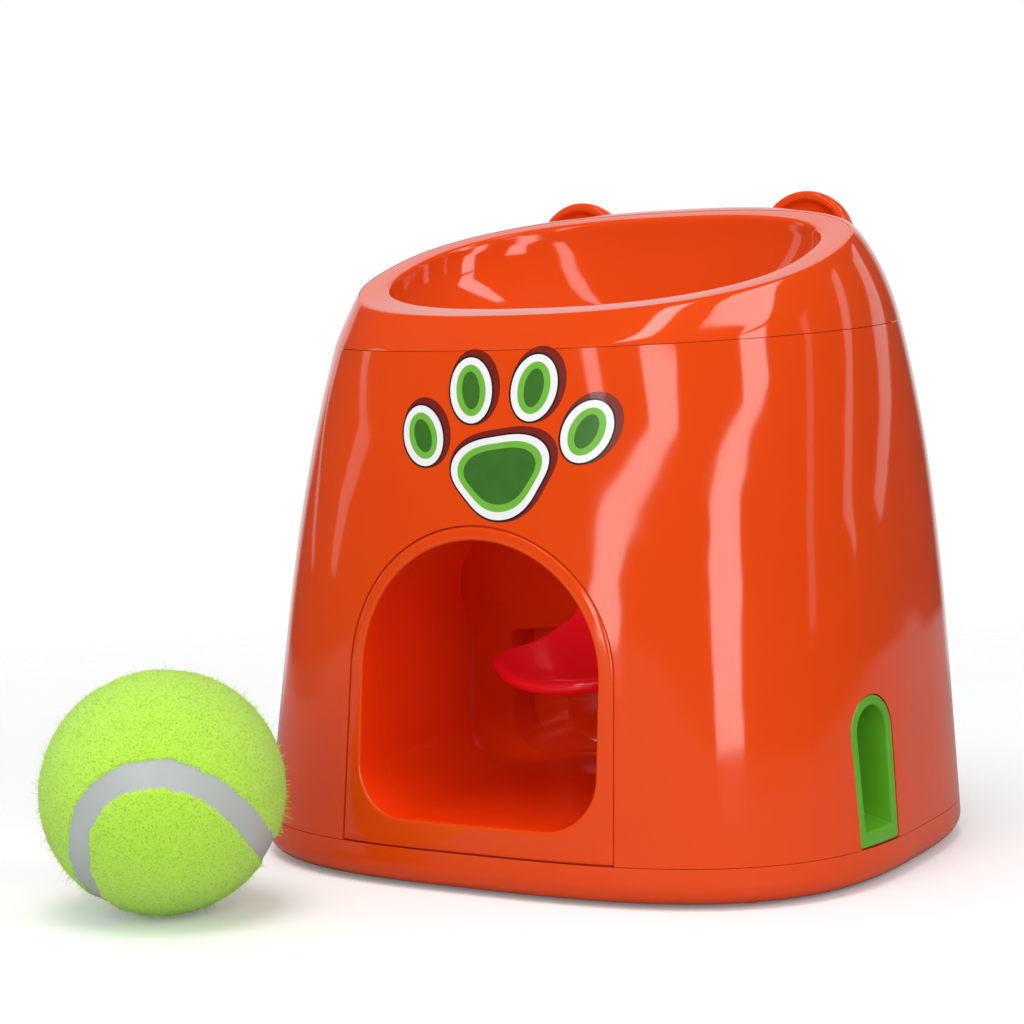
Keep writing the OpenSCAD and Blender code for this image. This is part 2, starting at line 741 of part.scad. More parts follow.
// The lid's skin curls in over the shoulders, but ends in a brow at the front
function brow(a) = pow(max(-sin(a), 0), 2);
function pull_in(u, a) =
    mix(1 - sqrt(max(1 - pow(u, shoulder), 0)), pow(u, brow_power), brow(a));
function lid_ring(u, inset) =
    let (z0 = mix(seam_z + seam_gap / 2, rim_z, u), k = mix(seam_slope, rim_slope, u))
    [for (a = angles()) let (p = skin_on_plane(a, inset, z0, k), q = rim_point(a, inset, inset),
            w = pull_in(u, a), y = mix(p[1], q[1] - rim_brow * brow(a), w))
        [mix(p[0], q[0], w), y, z0 + k * y + rim_lift * brow(a) * u * u]];
function neck_ring(r, z) = [for (a = angles()) [r * cos(a), r * sin(a) - neck_y, z]];
// Bowl: from the rim's inner edge down to the neck, steep at first and then in
function bowl_ring(u, inset) =
    let (w = pow(u, 1.5), h = pow(u, 0.8))
    [for (a = angles()) let (p = rim_point(a, rim_side + inset, rim_front + inset),
            q = [(neck_r - inset) * cos(a), (neck_r - inset) * sin(a) - neck_y, bowl_z + inset])
        [mix(p[0], q[0], w), mix(p[1], q[1], w), mix(p[2], q[2], h)]];
module funnel_lid() {
    outer = [for (i = [0 : lid_steps]) lid_ring(i / lid_steps, 0)];
    under = [for (i = [lid_steps - 1 : -1 : 0]) lid_ring(i / lid_steps, wall)];
    bowl = [for (i = [0 : bowl_steps]) bowl_ring(i / bowl_steps, 0)];
    out_bowl = [for (i = [bowl_steps : -1 : 1]) bowl_ring(i / bowl_steps, -wall)];
    neck_end = chimney_top - neck_lap;
    neck = [neck_ring(neck_r, neck_end), neck_ring(neck_r + wall - 0.4, neck_end)];
    color(orange) union() {
        loop_solid(concat(outer, bowl, neck, out_bowl, under));
        lid_spigot();
    }
}
module lid_spigot() {
    out = ring(wall + 0.35, seam_z, seam_slope);
    in = ring(wall + 2.2, seam_z, seam_slope);
    function drop(r, h) = [for (p = r) p - [0, 0, h]];
    loop_solid([drop(out, spigot_h), drop(out, -2), drop(in, -2), drop(in, spigot_h)]);
}
// Ears: round tabs behind the rim, with a raised edge and a hollow front
ear_x = 38.7;
ear_y = 55.5;
ear_r = 14;
ear_t = 6;
ear_z = 178.4;
module ear() {
    difference() {
        translate([ear_x, ear_y + ear_t, ear_z]) rotate([90, 0, 0]) difference() {
            cylinder(h = ear_t, r = ear_r);
            translate([0, 0, ear_t - 1.6]) cylinder(h = 5, r = ear_r - 3);
        }
        stack_solid([for (i = [0 : lid_steps]) lid_ring(i / lid_steps, -fit)]);
    }
}
module ear_right() {
    color(orange) ear();
}
module ear_left() {
    color(orange) mirror([1, 0, 0]) ear();
}

// Ball: a hollow rubber core under a felt cover
module ball_at() {
    translate([-ball_left, -ball_front, ball_d / 2]) children();
}
module ball_core() {
    r = ball_d / 2 - felt_t;
    color("#8a8f86") ball_at() difference() {
        sphere(r - 0.02);
        sphere(r - rubber_t);
    }
}
module ball_felt() {
    color(felt) ball_at() difference() {
        sphere(ball_d / 2);
        sphere(ball_d / 2 - felt_t);
    }
}

base_tray();
foot_pads();
base_screws();
inner_screws();
body_shell();
mouth_panel();
throat_liner();
side_frame_left();
side_frame_right();
bushing_left();
bushing_right();
treat_chute();
treat_hopper();
hopper_screws();
return_spring();
tongue();
cross_shaft();
metering_rotor();
hub_screws();
shaft_clips();
funnel_lid();
ear_left();
ear_right();
ball_core();
ball_felt();
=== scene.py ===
import math
import random

import bmesh
import bpy
from mathutils import Matrix, Vector, kdtree, noise


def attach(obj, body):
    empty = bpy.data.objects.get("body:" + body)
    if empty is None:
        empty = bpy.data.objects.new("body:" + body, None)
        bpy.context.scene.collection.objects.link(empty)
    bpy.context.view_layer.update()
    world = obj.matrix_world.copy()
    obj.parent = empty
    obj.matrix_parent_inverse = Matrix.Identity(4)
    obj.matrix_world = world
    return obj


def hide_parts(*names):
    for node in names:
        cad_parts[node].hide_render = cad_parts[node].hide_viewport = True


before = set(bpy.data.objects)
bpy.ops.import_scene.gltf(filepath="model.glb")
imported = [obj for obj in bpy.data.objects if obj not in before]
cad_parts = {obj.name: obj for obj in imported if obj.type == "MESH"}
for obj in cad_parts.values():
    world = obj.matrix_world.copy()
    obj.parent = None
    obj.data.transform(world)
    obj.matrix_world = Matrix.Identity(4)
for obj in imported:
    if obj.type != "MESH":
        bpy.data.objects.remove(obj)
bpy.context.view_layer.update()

# Camera: at the height of the bowl and turned to the chute's side, as the photograph shows it.
# The long lens keeps the body's sides nearly upright.
azimuth, elevation, roll = (math.radians(a) for a in (29.0592, 3.6272, 0.9412))
level = Vector((math.cos(azimuth), math.sin(azimuth), 0))
back = Vector((0, 0, math.sin(elevation)))
back += math.cos(elevation) * Vector((math.sin(azimuth), -math.cos(azimuth), 0))
upward = back.cross(level)
across = level * math.cos(roll) - upward * math.sin(roll)
upright = level * math.sin(roll) + upward * math.cos(roll)
aim = Vector((0, 0, 0.0966))
far, to_left, down = 0.67624, 0.02981, 0.00033
place = aim + far * back - to_left * across - down * upright
camera = bpy.data.objects.new("camera", bpy.data.cameras.new("camera"))
camera.data.lens = 80.46
camera.data.sensor_width = 36
camera.matrix_world = Matrix.Translation(place) @ Matrix((across, upright, back)).transposed().to_4x4()
scene = bpy.context.scene
scene.collection.objects.link(camera)
scene.camera = camera
scene.view_settings.view_transform = "Standard"


# Studio: a dim room with a white backdrop behind the object and a pale table round it. Tall soft
# boxes stand to the right and in front, thin faint ones on both sides, and two high ones show in
# the gloss alone. Two square lamps hang overhead, and the floor keeps the shadows.
class Value:
    """A node's output. Python's own signs on it add the Math nodes."""

    def __init__(self, nodes, socket):
        self.nodes = nodes
        self.socket = socket

    def maths(self, operation, first, second):
        return self.nodes.add("Math", {"operation": operation}, {0: first, 1: second})

    def __add__(self, other):
        return self.maths("ADD", self, other)

    def __sub__(self, other):
        return self.maths("SUBTRACT", self, other)

    def __rsub__(self, other):
        return self.maths("SUBTRACT", other, self)

    def __mul__(self, other):
        return self.maths("MULTIPLY", self, other)

    def at_least(self, other):
        return self.maths("MAXIMUM", self, other)

    __radd__ = __add__
    __rmul__ = __mul__


class Nodes:
    """The nodes of one material or of the world."""

    def __init__(self, tree):
        self.tree = tree

    def add(self, kind, settings=None, inputs=None, output=0):
        node = self.tree.nodes.new("ShaderNode" + kind)
        for name, setting in (settings or {}).items():
            if name == "stops":
                elements = node.color_ramp.elements
                for element, stop in ((elements[0], setting[0]), (elements[1], setting[-1])):
                    element.position, element.color = stop[0], (*stop[1], 1)
                for position, colour in setting[1:-1]:
                    elements.new(position).color = (*colour, 1)
            else:
                setattr(node, name, setting)
        self.put(node, inputs or {})
        return Value(self, node.outputs[output])

    def put(self, node, inputs):
        for name, value in inputs.items():
            if isinstance(value, Value):
                self.tree.links.new(value.socket, node.inputs[name])
            elif node.inputs[name].type == "RGBA":
                node.inputs[name].default_value = (*value[:3], 1)
            else:
                node.inputs[name].default_value = value

    def mix(self, factor, low, high):
        return self.add("Mix", {"data_type": "RGBA"}, {0: factor, 6: low, 7: high}, 2)


world = bpy.data.worlds.new("studio")
scene.world = world
world.use_nodes = True
studio = Nodes(world.node_tree)
ray_seen = studio.add("LightPath", output="Is Camera Ray")
ray_gloss = studio.add("LightPath", output="Is Glossy Ray")
ray_through = studio.add("LightPath", output="Is Transmission Ray")
way = studio.add("TexCoord", output="Generated")
level_way = studio.add("VectorMath", {"operation": "MULTIPLY"}, {0: way, 1: (1, 1, 0)})
heading = studio.add("VectorMath", {"operation": "NORMALIZE"}, {0: level_way})
backdrop = Vector((-math.sin(azimuth), math.cos(azimuth), 0))
facing = studio.add("VectorMath", {"operation": "DOT_PRODUCT"}, {0: heading, 1: backdrop}, "Value")
behind = studio.add("MapRange", {"interpolation_type": "SMOOTHSTEP"}, {0: facing, 1: 0.86, 2: 0.94})
rising = studio.add("SeparateXYZ", None, {0: way}, 2)
below_top = studio.add("MapRange", {"interpolation_type": "SMOOTHSTEP"}, {0: rising, 1: 0.74, 2: 0.6})
table_up = Vector((-0.024, 0.079, 1))
over = studio.add("VectorMath", {"operation": "DOT_PRODUCT"}, {0: way, 1: table_up}, "Value")
table = studio.add("MapRange", {"interpolation_type": "SMOOTHSTEP"}, {0: over, 1: 0.0, 2: -0.012})
dark_walls, table_top, backdrop_white = (0.08, 0.08, 0.08), (0.4, 0.4, 0.41), (0.85, 0.85, 0.85)
room = studio.mix(table, dark_walls, table_top)
room = studio.mix(behind * below_top, room, backdrop_white)
brighter_ahead = Vector((-0.12, -0.45, 0.1))
fill = studio.add("VectorMath", {"operation": "DOT_PRODUCT"}, {0: way, 1: brighter_ahead}, "Value")
fill = (fill + 0.52).at_least(0.2)
fill = studio.add("CombineColor", None, {"Red": fill, "Green": fill, "Blue": fill})
surround = studio.mix(ray_gloss.at_least(ray_through), fill, room)
surround = studio.mix(ray_seen, surround, (1.0, 1.0, 1.0))
studio.put(world.node_tree.nodes["Background"], {"Color": surround, "Strength": 1.0})


def soft_box(name, radiance, stops):
    """A bent strip of light four metres off, through stops: bearing, height and half width.

    All are angles in degrees, the bearings from the front towards the chute's side.
    """
    distance, middle = 4, Vector((0, 0, 0.09))
    bm = bmesh.new()
    for vert in bmesh.ops.create_grid(bm, x_segments=1, y_segments=36, size=1)["verts"]:
        share = (vert.co.y + 1) / 2 * (len(stops) - 1)
        k = min(int(share), len(stops) - 2)
        bearing, rise, half = Vector(stops[k]).lerp(Vector(stops[k + 1]), share - k)
        turned, tilted = math.radians(bearing + half * vert.co.x), math.radians(rise)
        ahead = Vector((math.sin(turned), -math.cos(turned), math.tan(tilted)))
        vert.co = ahead.normalized() * distance + middle
    mesh = bpy.data.meshes.new(name)
    bm.to_mesh(mesh)
    bm.free()
    glow = bpy.data.materials.new(name)
    glow.use_nodes = True
    nodes = Nodes(glow.node_tree)
    light = nodes.add("Emission", None, {"Color": (1.0, 1.0, 1.0), "Strength": radiance})
    nodes.put(glow.node_tree.nodes["Material Output"], {"Surface": light})
    mesh.materials.append(glow)
    box = bpy.data.objects.new(name, mesh)
    box.visible_camera = False
    scene.collection.objects.link(box)
    return box


# Each box with its radiance and its stops.
boxes = [
    ("key_strip", 5.6, [(50, 3, 7), (54, 11, 8), (57, 17, 7.5), (66, 21, 7), (79, 24, 7), (85, 42, 8)]),
    ("second_strip", 5.4, [(2, 3, 3), (4, 8, 4), (9, 12, 4.5), (33, 22.5, 6), (35, 31, 8)]),
    ("side_strip_a", 0.9, [(100, 4, 2), (101, 12, 2), (110, 23, 2), (112, 34, 2)]),
    ("side_strip_b", 1.3, [(127, 3, 1), (123, 7, 3), (133, 16, 3), (138, 30, 3)]),
    ("side_strip_c", 1.0, [(144, 2, 1), (146, 4, 6), (157, 9, 6), (163, 24, 5)]),
    ("left_strip_near", 0.9, [(-79, 3, 2), (-80, 7, 4), (-76, 12, 5), (-92, 15, 5), (-96, 36, 5)]),
    ("left_strip_far", 0.7, [(-100, 1.5, 2), (-110, 4, 3), (-122, 6, 3), (-127, 30, 3)]),
]
high_boxes = [
    ("key_strip_top", 5.4, [(86, 44, 8), (96, 50, 12), (88, 60, 13), (77, 71, 10)]),
    ("bowl_strip", 4.0, [(8, 22, 3), (3, 32, 3.5), (0, 42, 4), (-9, 53, 6), (-18, 58, 6)]),
]
strips = [soft_box(*box) for box in boxes + high_boxes]
for strip in strips[len(boxes) :]:
    strip.visible_diffuse = False


def square_lamp(name, size, watts, place):
    """A lamp that shines straight down from its place."""
    lamp = bpy.data.lights.new(name, "AREA")
    lamp.size = size
    lamp.energy = watts
    hung = bpy.data.objects.new(name, lamp)
    hung.location = place
    scene.collection.objects.link(hung)
    return hung


top_light = square_lamp("top_light", 0.85, 10, (0.07, -0.5, 1.7))
top_light.rotation_euler = (-top_light.location).to_track_quat("-Z", "Y").to_euler()
top_light.visible_glossy = False
square_lamp("overhead", 0.2, 0.75, (-0.03, -0.09, 1.7))

bm = bmesh.new()
bmesh.ops.create_grid(bm, x_segments=1, y_segments=1, size=1)
floor_mesh = bpy.data.meshes.new("floor")
bm.to_mesh(floor_mesh)
bm.free()
floor_material = bpy.data.materials.new("floor")
floor_material.use_nodes = True
floor_nodes = Nodes(floor_material.node_tree)
paper = floor_nodes.add("TexCoord", output="Object")
grain = floor_nodes.add("TexNoise", None, {"Vector": paper, "Scale": 3.0})
sheet = floor_nodes.mix(grain, (0.9, 0.9, 0.9), (0.94, 0.94, 0.94))
floor_seen = floor_nodes.add("LightPath", output="Is Camera Ray")
floor_mirrored = floor_nodes.add("LightPath", output="Is Glossy Ray")
bounce = floor_nodes.mix(floor_mirrored, (0.62, 0.62, 0.62), (0.38, 0.38, 0.38))
away = floor_nodes.add("VectorMath", {"operation": "LENGTH"}, {0: paper}, "Value")
kept_near = floor_nodes.add(
    "MapRange", {"interpolation_type": "SMOOTHSTEP"}, {0: away, 1: 0.62, 2: 0.3}
)
floor_nodes.put(
    floor_material.node_tree.nodes["Principled BSDF"],
    {
        "Base Color": floor_nodes.mix(floor_seen, bounce, sheet),
        "Emission Color": floor_nodes.mix(floor_seen, (0, 0, 0), (0.12, 0.14, 0.14)),
        "Emission Strength": 1.0,
        "Roughness": 0.6,
        "Specular IOR Level": 0.2,
        "Alpha": kept_near,
    },
)
floor_mesh.materials.append(floor_material)
floor = bpy.data.objects.new("floor", floor_mesh)
scene.collection.objects.link(floor)


# Body shell: a tapered tub with rounded sides, moulded in glossy orange plastic. It stands on the
# tray, and four long screws hold it from below. The mouth panel and the treat chute are let into
# it with a fine gap all round.
body_w, body_d = 190.5, 177.0
side_draft, front_draft = 0.054, 0.022
dome_from, dome_to = 60.0, 190.0
dome_in, dome_power = 23.4, 2.32
wall = 2.5
base_h = 11.0
lean_back = 0.038
seam_gap = 0.15
seam_z = 149.4
seam_slope = math.tan(math.radians(4.1))


def dome(z):
    """How far the sides have curled in at a height."""
    t = min(max((z - dome_from) / (dome_to - dome_from), 0), 0.98)
    return dome_in * (1 - math.sqrt(1 - t**dome_power))


def half_width(z):
    return body_w / 2 - (z - base_h) * side_draft - dome(z)


def half_depth(z):
    return body_d / 2 - (z - base_h) * front_draft - dome(z)


def squareness(z):
    """Power of the superellipse: 2 would be an oval, more is squarer."""
    return max(3 - z / 170, 2)


def bend(v, n):
    """Turns a cosine or sine into its share of a superellipse of power n."""
    return math.copysign(abs(v) ** (2 / n), v)


def skin(angle, z, inset=0.0):
    """Point of the body's section at a height, or of one that lies within it."""
    n = squareness(z)
    x = (half_width(z) - inset) * bend(math.cos(angle), n)
    y = (half_depth(z) - inset) * bend(math.sin(angle), n) + lean_back * z
    return Vector((x, y, z))


def skin_on_plane(angle, inset, z0, slope):
    """Where a line up the skin meets the inclined plane z = z0 + slope * y."""
    z = z0
    for _ in range(14 if slope else 0):
        z = (z + z0 + slope * skin(angle, z, inset).y) / 2
    point = skin(angle, z, inset)
    point.z = z0 + slope * point.y
    return point


def front(x, z, inset=0.0):
    """Point of the skin's front, over a place seen from the front."""
    n = squareness(z)
    share = min(abs(x) / (half_width(z) - inset), 1)
    y = lean_back * z - (half_depth(z) - inset) * (1 - share**n) ** (1 / n)
    return Vector((x, y, z))


def side(y, z, inset=0.0):
    """Point of the skin's right side, over a place seen from that side."""
    n = squareness(z)
    share = min(abs(y - lean_back * z) / (half_depth(z) - inset), 1)
    x = (half_width(z) - inset) * (1 - share**n) ** (1 / n)
    return Vector((x, y, z))


def even_angles(count, n):
    """Angles that space the points of a superellipse evenly."""
    turns = [math.tau * k / count for k in range(count)]
    powers = [(math.cos(t), math.sin(t)) for t in turns]
    return [
        math.atan2(
            math.copysign(abs(s) ** (n / 2), s if abs(s) > 1e-9 else 0.0),
            math.copysign(abs(c) ** (n / 2), c if abs(c) > 1e-9 else 0.0),
        )
        for c, s in powers
    ]


def start_loop(bm, places):
    """A closed loop of edges through the places."""
    loop = bmesh.ops.create_circle(bm, segments=len(places), radius=1)["verts"]
    chain, ahead = [loop[0]], loop[0].link_edges[0]
    for _ in places[1:]:
        chain.append(ahead.other_vert(chain[-1]))
        ahead = next(edge for edge in chain[-1].link_edges if edge != ahead)
    for vert, point in zip(chain, places):
        vert.co = point
    return chain


def grow(bm, chain, places, closed=True):
    """Extrudes a chain of vertices, moves the new chain to the places and returns it."""
    ends = chain[1:] + chain[:1] if closed else chain[1:]
    edges = [bm.edges.get(pair) for pair in zip(chain, ends)]
    made = bmesh.ops.extrude_edge_only(bm, edges=edges)["geom"]
    new = {item for item in made if isinstance(item, bmesh.types.BMVert)}
    grown = [next(e.other_vert(v) for e in v.link_edges if e.other_vert(v) in new) for v in chain]
    for vert, point in zip(grown, places):
        vert.co = point
    return grown


def loft(bm, rings, joined=False):
    """Skin through closed rings of equal length, or round a whole section if joined."""
    chains = [start_loop(bm, rings[0])]
    for ring in rings[1:]:
        chains.append(grow(bm, chains[-1], ring))
    if joined:
        last = grow(bm, chains[-1], rings[0])
        bmesh.ops.weld_verts(bm, targetmap=dict(zip(last, chains[0])))
    return chains


def pillar(bm, x, y, low, high, r):
    bmesh.ops.create_cone(
        bm,
        cap_ends=True,
        segments=40,
        radius1=r,
        radius2=r,
        depth=high - low,
        matrix=Matrix.Translation((x, y, (low + high) / 2)),
    )


def along(points, shares):
    """Places on a line of points, at shares of its length."""
    lengths = [0.0]
    for a, b in zip(points, points[1:]):
        lengths.append(lengths[-1] + (Vector(b) - Vector(a)).length)
    found, k = [], 0
    for share in shares:
        want = share * lengths[-1]
        while k < len(points) - 2 and lengths[k + 1] < want:
            k += 1
        t = (want - lengths[k]) / (lengths[k + 1] - lengths[k])
        found.append(Vector(points[k]).lerp(Vector(points[k + 1]), t))
    return found


def arch(half, mid, low, flare, steps=48):
    """Outline of an arch on upright or flared sides, from its lower left end to its right one."""
    turns = [math.pi * (1 - k / steps) for k in range(steps + 1)]
    top = [(half * math.cos(t), mid + half * math.sin(t)) for t in turns]
    return [(-half - flare, low), *top, (half + flare, low)]


def let_in(bm, chain, outline, flat, onto, loops):
    """Closes the skin from the edge of a gap up to an outline, with loops that lie on the skin."""
    starts = [Vector(flat(vert.co)) for vert in chain]
    lengths = [0.0]
    for a, b in zip(starts, starts[1:]):
        lengths.append(lengths[-1] + (b - a).length)
    ends = along(outline, [length / lengths[-1] for length in lengths])
    for step in range(1, loops + 1):
        places = [onto(*a.lerp(b, step / loops)) for a, b in zip(starts, ends)]
        chain = grow(bm, chain, places, closed=False)


def finished(name, bm, finish, body, slot, *nodes):
    """Turns a bmesh in millimetres into a piece that stands for the named solids."""
    bmesh.ops.scale(bm, vec=(0.001, 0.001, 0.001), verts=bm.verts)
    mesh = bpy.data.meshes.new(name)
    bm.to_mesh(mesh)
    bm.free()
    mesh.polygons.foreach_set("use_smooth", [True] * len(mesh.polygons))
    mesh.set_sharp_from_angle(angle=math.radians(42))
    for material in finish if isinstance(finish, list) else [finish]:
        mesh.materials.append(material)
    piece = bpy.data.objects.new(name, mesh)
    scene.collection.objects.link(piece)
    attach(piece, body)
    if nodes:
        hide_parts(*nodes)
    return piece


def thicken(piece, thickness):
    """Gives an open skin its wall, inwards from the side that is seen."""
    solid = piece.modifiers.new("wall", "SOLIDIFY")
    solid.thickness = thickness * 0.001
    solid.offset = -1
    solid.use_even_offset = True


def soften(piece, width, segments=2, angle=40):
    """Rounds the sharp edges as a mould does."""
    edge = piece.modifiers.new("soft_edges", "BEVEL")
    edge.width = width * 0.001
    edge.segments = segments
    edge.limit_method = "ANGLE"
    edge.angle_limit = math.radians(angle)
    edge.harden_normals = True


class Finish(Nodes):
    """A material on the Principled shader, with patterns placed by Object coordinates."""

    def __init__(self, name, fixed):
        self.material = bpy.data.materials.new(name)
        self.material.use_nodes = True
        super().__init__(self.material.node_tree)
        self.shader = self.tree.nodes["Principled BSDF"]
        self.place = self.add("TexCoord", output="Object")
        self.put(self.shader, fixed)

    def noise(self, scale, detail=2.0, rough=0.5):
        inputs = {"Vector": self.place, "Scale": scale, "Detail": detail, "Roughness": rough}
        return self.add("TexNoise", None, inputs)

    def bump(self, height, distance, under=None):
        inputs = {"Height": height, "Distance": distance, "Strength": 1.0}
        if under:
            inputs["Normal"] = under
        return self.add("Bump", None, inputs)


def moulded(name, deep, bright, roughness, wave, clouds=14.0):
    """Glossy moulded plastic: cloudy colour, faint rubs, and a surface that sinks and swells."""
    plastic = Finish(name, {"IOR": 1.5})
    cloud = plastic.noise(clouds, 3.0)
    rubs = plastic.noise(190.0, 5.0, 0.65)
    streaks = plastic.add("Mapping", None, {"Vector": plastic.place, "Scale": (900, 900, 40)})
    fine = plastic.add("TexNoise", None, {"Vector": streaks, "Scale": 1.0, "Detail": 2.0})
    swell = plastic.bump(plastic.noise(34.0, 1.0), wave)
    plastic.put(
        plastic.shader,
        {
            "Base Color": plastic.mix(cloud, deep, bright),
            "Roughness": roughness + 0.05 * rubs + 0.02 * fine - 0.035,
            "Normal": plastic.bump(plastic.noise(2600.0, 1.0), 0.0000012, swell),
        },
    )
    return plastic.material


orange = moulded("glossy_orange", (0.68, 0.05, 0.002), (0.74, 0.063, 0.003), 0.07, 0.00032)
shell_columns = even_angles(288, 2.75)
shell_rows = 60
bm = bmesh.new()
rows = []
for j in range(shell_rows + 1):
    u = j / shell_rows
    z0 = (base_h + seam_gap / 2) * (1 - u) + (seam_z - seam_gap / 2) * u
    ring = [skin_on_plane(a, 0, z0, u * seam_slope) for a in shell_columns]
    rows.append(grow(bm, rows[-1], ring) if rows else start_loop(bm, ring))
panel_half = 40.3
panel_mid = 57.5
flare_slope = 1.4 / panel_mid
panel_flare = flare_slope * (panel_mid - base_h)
panel_gap = 0.16
chute_y = -29.8
chute_half = 10.3
chute_mid = 40.7
# Each opening in the skin: the columns and rows of faces to leave out, the insert's outline and how
# it lies on the skin, and how many loops of faces fill in up to its gap.
openings = [
    (
        [k for k, v in enumerate(rows[0]) if abs(v.co.x) < 60 and v.co.y < 0],
        46,
        arch(panel_half + panel_gap, panel_mid, base_h + seam_gap / 2, panel_flare),
        lambda p: (p.x, p.z),
        front,
        8,
    ),
    (
        [k for k, v in enumerate(rows[0]) if abs(v.co.y - chute_y) < 17 and v.co.x > 0],
        24,
        [
            (chute_y + y, z)
            for y, z in arch(chute_half + panel_gap, chute_mid, base_h + seam_gap / 2, 0)
        ],
        lambda p: (p.y, p.z),
        side,
        5,
    ),
]
for columns, top, outline, flat, onto, loops in openings:
    inner = {rows[j][k] for j in range(top) for k in columns[1:-1]}
    left_out = {f for v in inner for f in v.link_faces}
    first, last = columns[0], columns[-1]
    chain = [rows[j][first] for j in range(top + 1)]
    chain += [rows[top][k] for k in columns[1:-1]]
    chain += [rows[j][last] for j in range(top, -1, -1)]
    bmesh.ops.delete(bm, geom=list(left_out), context="FACES")
    let_in(bm, chain, outline, flat, onto, loops)
bmesh.ops.recalc_face_normals(bm, faces=bm.faces)
shell = finished("shell_tub", bm, orange, "dispenser", "orange_plastic", "body_shell")
thicken(shell, wall)
soften(shell, 0.3)
boss_r, boss_l = 5.0, 17
corner_x, corner_y, corner_shift = 69.9, 65.05, 0.42
corners = [(i * corner_x, corner_shift + j * corner_y) for i in (-1, 1) for j in (-1, 1)]
bm = bmesh.new()
for x, y in corners:
    pillar(bm, x, y, base_h + seam_gap / 2, base_h + boss_l, boss_r)
bosses = finished("shell_bosses", bm, orange, "dispenser", "orange_plastic")
soften(bosses, 0.3)


# Base tray: the shallow pan that closes the tub from below, moulded in the same orange. A lip
# keeps it in the tub, and bosses hold the screws and the rubber feet.
tray_low = 0.8
edge_r = 6.0
floor_t = 2.4
seat_z = 6.2
head_seat = 3.2
foot_hole_r, foot_hole_top = 9.1, 2.6
foot_boss_r, foot_boss_top = 11.5, 5.2
head_hole_r = 3.3
straight_from = 8.5
lip_low, lip_top = 2.7, 14.6
lip_out, lip_in = 2.9, 4.7
foot_x, foot_y = 58, 52
feet = [(0, 0)] + [(i * foot_x, j * foot_y) for i in (-1, 1) for j in (-1, 1)]
inner_legs = [(i * 24, y) for i in (-1, 1) for y in (-60, -4)]
inner_legs += [(i * 50.5, y) for i in (-1, 1) for y in (-14, 36)]
chute_leg_x = 60
inner_legs += [(chute_leg_x, chute_y)]
tray_columns = even_angles(216, 2.95)


def tray_ring(inset, z):
    return [skin(angle, z, inset) for angle in tray_columns]


def edges_of(bm, chain):
    """The edges of a closed chain of vertices."""
    return [bm.edges.get(pair) for pair in zip(chain, chain[1:] + chain[:1])]


def quarter(steps):
    """Shares of an edge radius, from a side towards the face beyond: how far in, how far on."""
    turns = [math.pi / 2 * k / steps for k in range(steps + 1)]
    return [(1 - math.cos(turn), 1 - math.sin(turn)) for turn in turns]


bm = bmesh.new()
rings = [tray_ring(edge_r * a, tray_low + edge_r * b) for a, b in quarter(9)][::-1]
rings += [tray_ring(0, z) for z in (straight_from, base_h - seam_gap / 2)]
rings += [tray_ring(wall, z) for z in (base_h - seam_gap / 2, straight_from)]
inner_r = edge_r - wall
rings += [tray_ring(wall + inner_r * a, tray_low + floor_t + inner_r * b) for a, b in quarter(6)]
chains = loft(bm, rings)
bmesh.ops.contextual_create(bm, geom=edges_of(bm, chains[-1]))
holes = [(x, y, foot_hole_r, foot_hole_top) for x, y in feet]
holes += [(x, y, head_hole_r, head_seat) for x, y in corners + inner_legs]
rims = []
for x, y, r, z in holes:
    ways = [math.tau * k / 40 for k in range(40)]
    rims.append(start_loop(bm, [(x + r * math.cos(w), y + r * math.sin(w), tray_low) for w in ways]))
outline = [edge for chain in [chains[0], *rims] for edge in edges_of(bm, chain)]
bmesh.ops.triangle_fill(bm, use_beauty=True, edges=outline, normal=(0, 0, -1))
for chain, (x, y, r, z) in zip(rims, holes):
    chain = grow(bm, chain, [(v.co.x, v.co.y, z) for v in chain])
    bmesh.ops.contextual_create(bm, geom=edges_of(bm, chain))
for x, y in corners:
    pillar(bm, x, y, head_seat, base_h - seam_gap / 2, boss_r)
for x, y in inner_legs:
    pillar(bm, x, y, head_seat, seat_z, boss_r)
for x, y in feet:
    pillar(bm, x, y, lip_low, foot_boss_top, foot_boss_r)
lip = [(lip_out, lip_low), (lip_out, lip_top), (lip_in, lip_top), (lip_in, lip_low)]
loft(bm, [tray_ring(inset, z) for inset, z in lip], joined=True)
bmesh.ops.recalc_face_normals(bm, faces=bm.faces)
tray = finished("tray_pan", bm, orange, "dispenser", "orange_plastic", "base_tray")
soften(tray, 0.3)


# Mouth panel: an insert of the same plastic, let into the tub's front and held by the tray. Its
# outer edge is rounded, and a sleeve runs back from the arch to the throat, climbing 3 degrees.
# A deeper red copy of the orange plastic: painted shade for the inside of the mouth and the throat.
painted_shade_orange = moulded("throat_painted_shade_orange", (0.81, 0.034, 0.002), (0.86, 0.044, 0.003), 0.16, 0.00005)
climb = math.radians(3)
sill = 18.7
mouth_half = 36.0
mouth_corner = 14.0
sleeve_l = 15.0
liner_t = 2.0
mouth_y = front(0, sill).y


def passage(x, z, depth):
    """Point of the tilted passage, from its place at the mouth and a depth behind the sill."""
    rise = z - sill
    y = mouth_y + depth * math.cos(climb) - rise * math.sin(climb)
    return Vector((x, y, sill + depth * math.sin(climb) + rise * math.cos(climb)))


def passage_on_skin(place, inset=0.0):
    """Where the passage meets the skin, or one that lies within it."""
    depth = 0.0
    for _ in range(10):
        point = passage(*place, depth)
        depth += front(point.x, point.z, inset).y - point.y
    return point


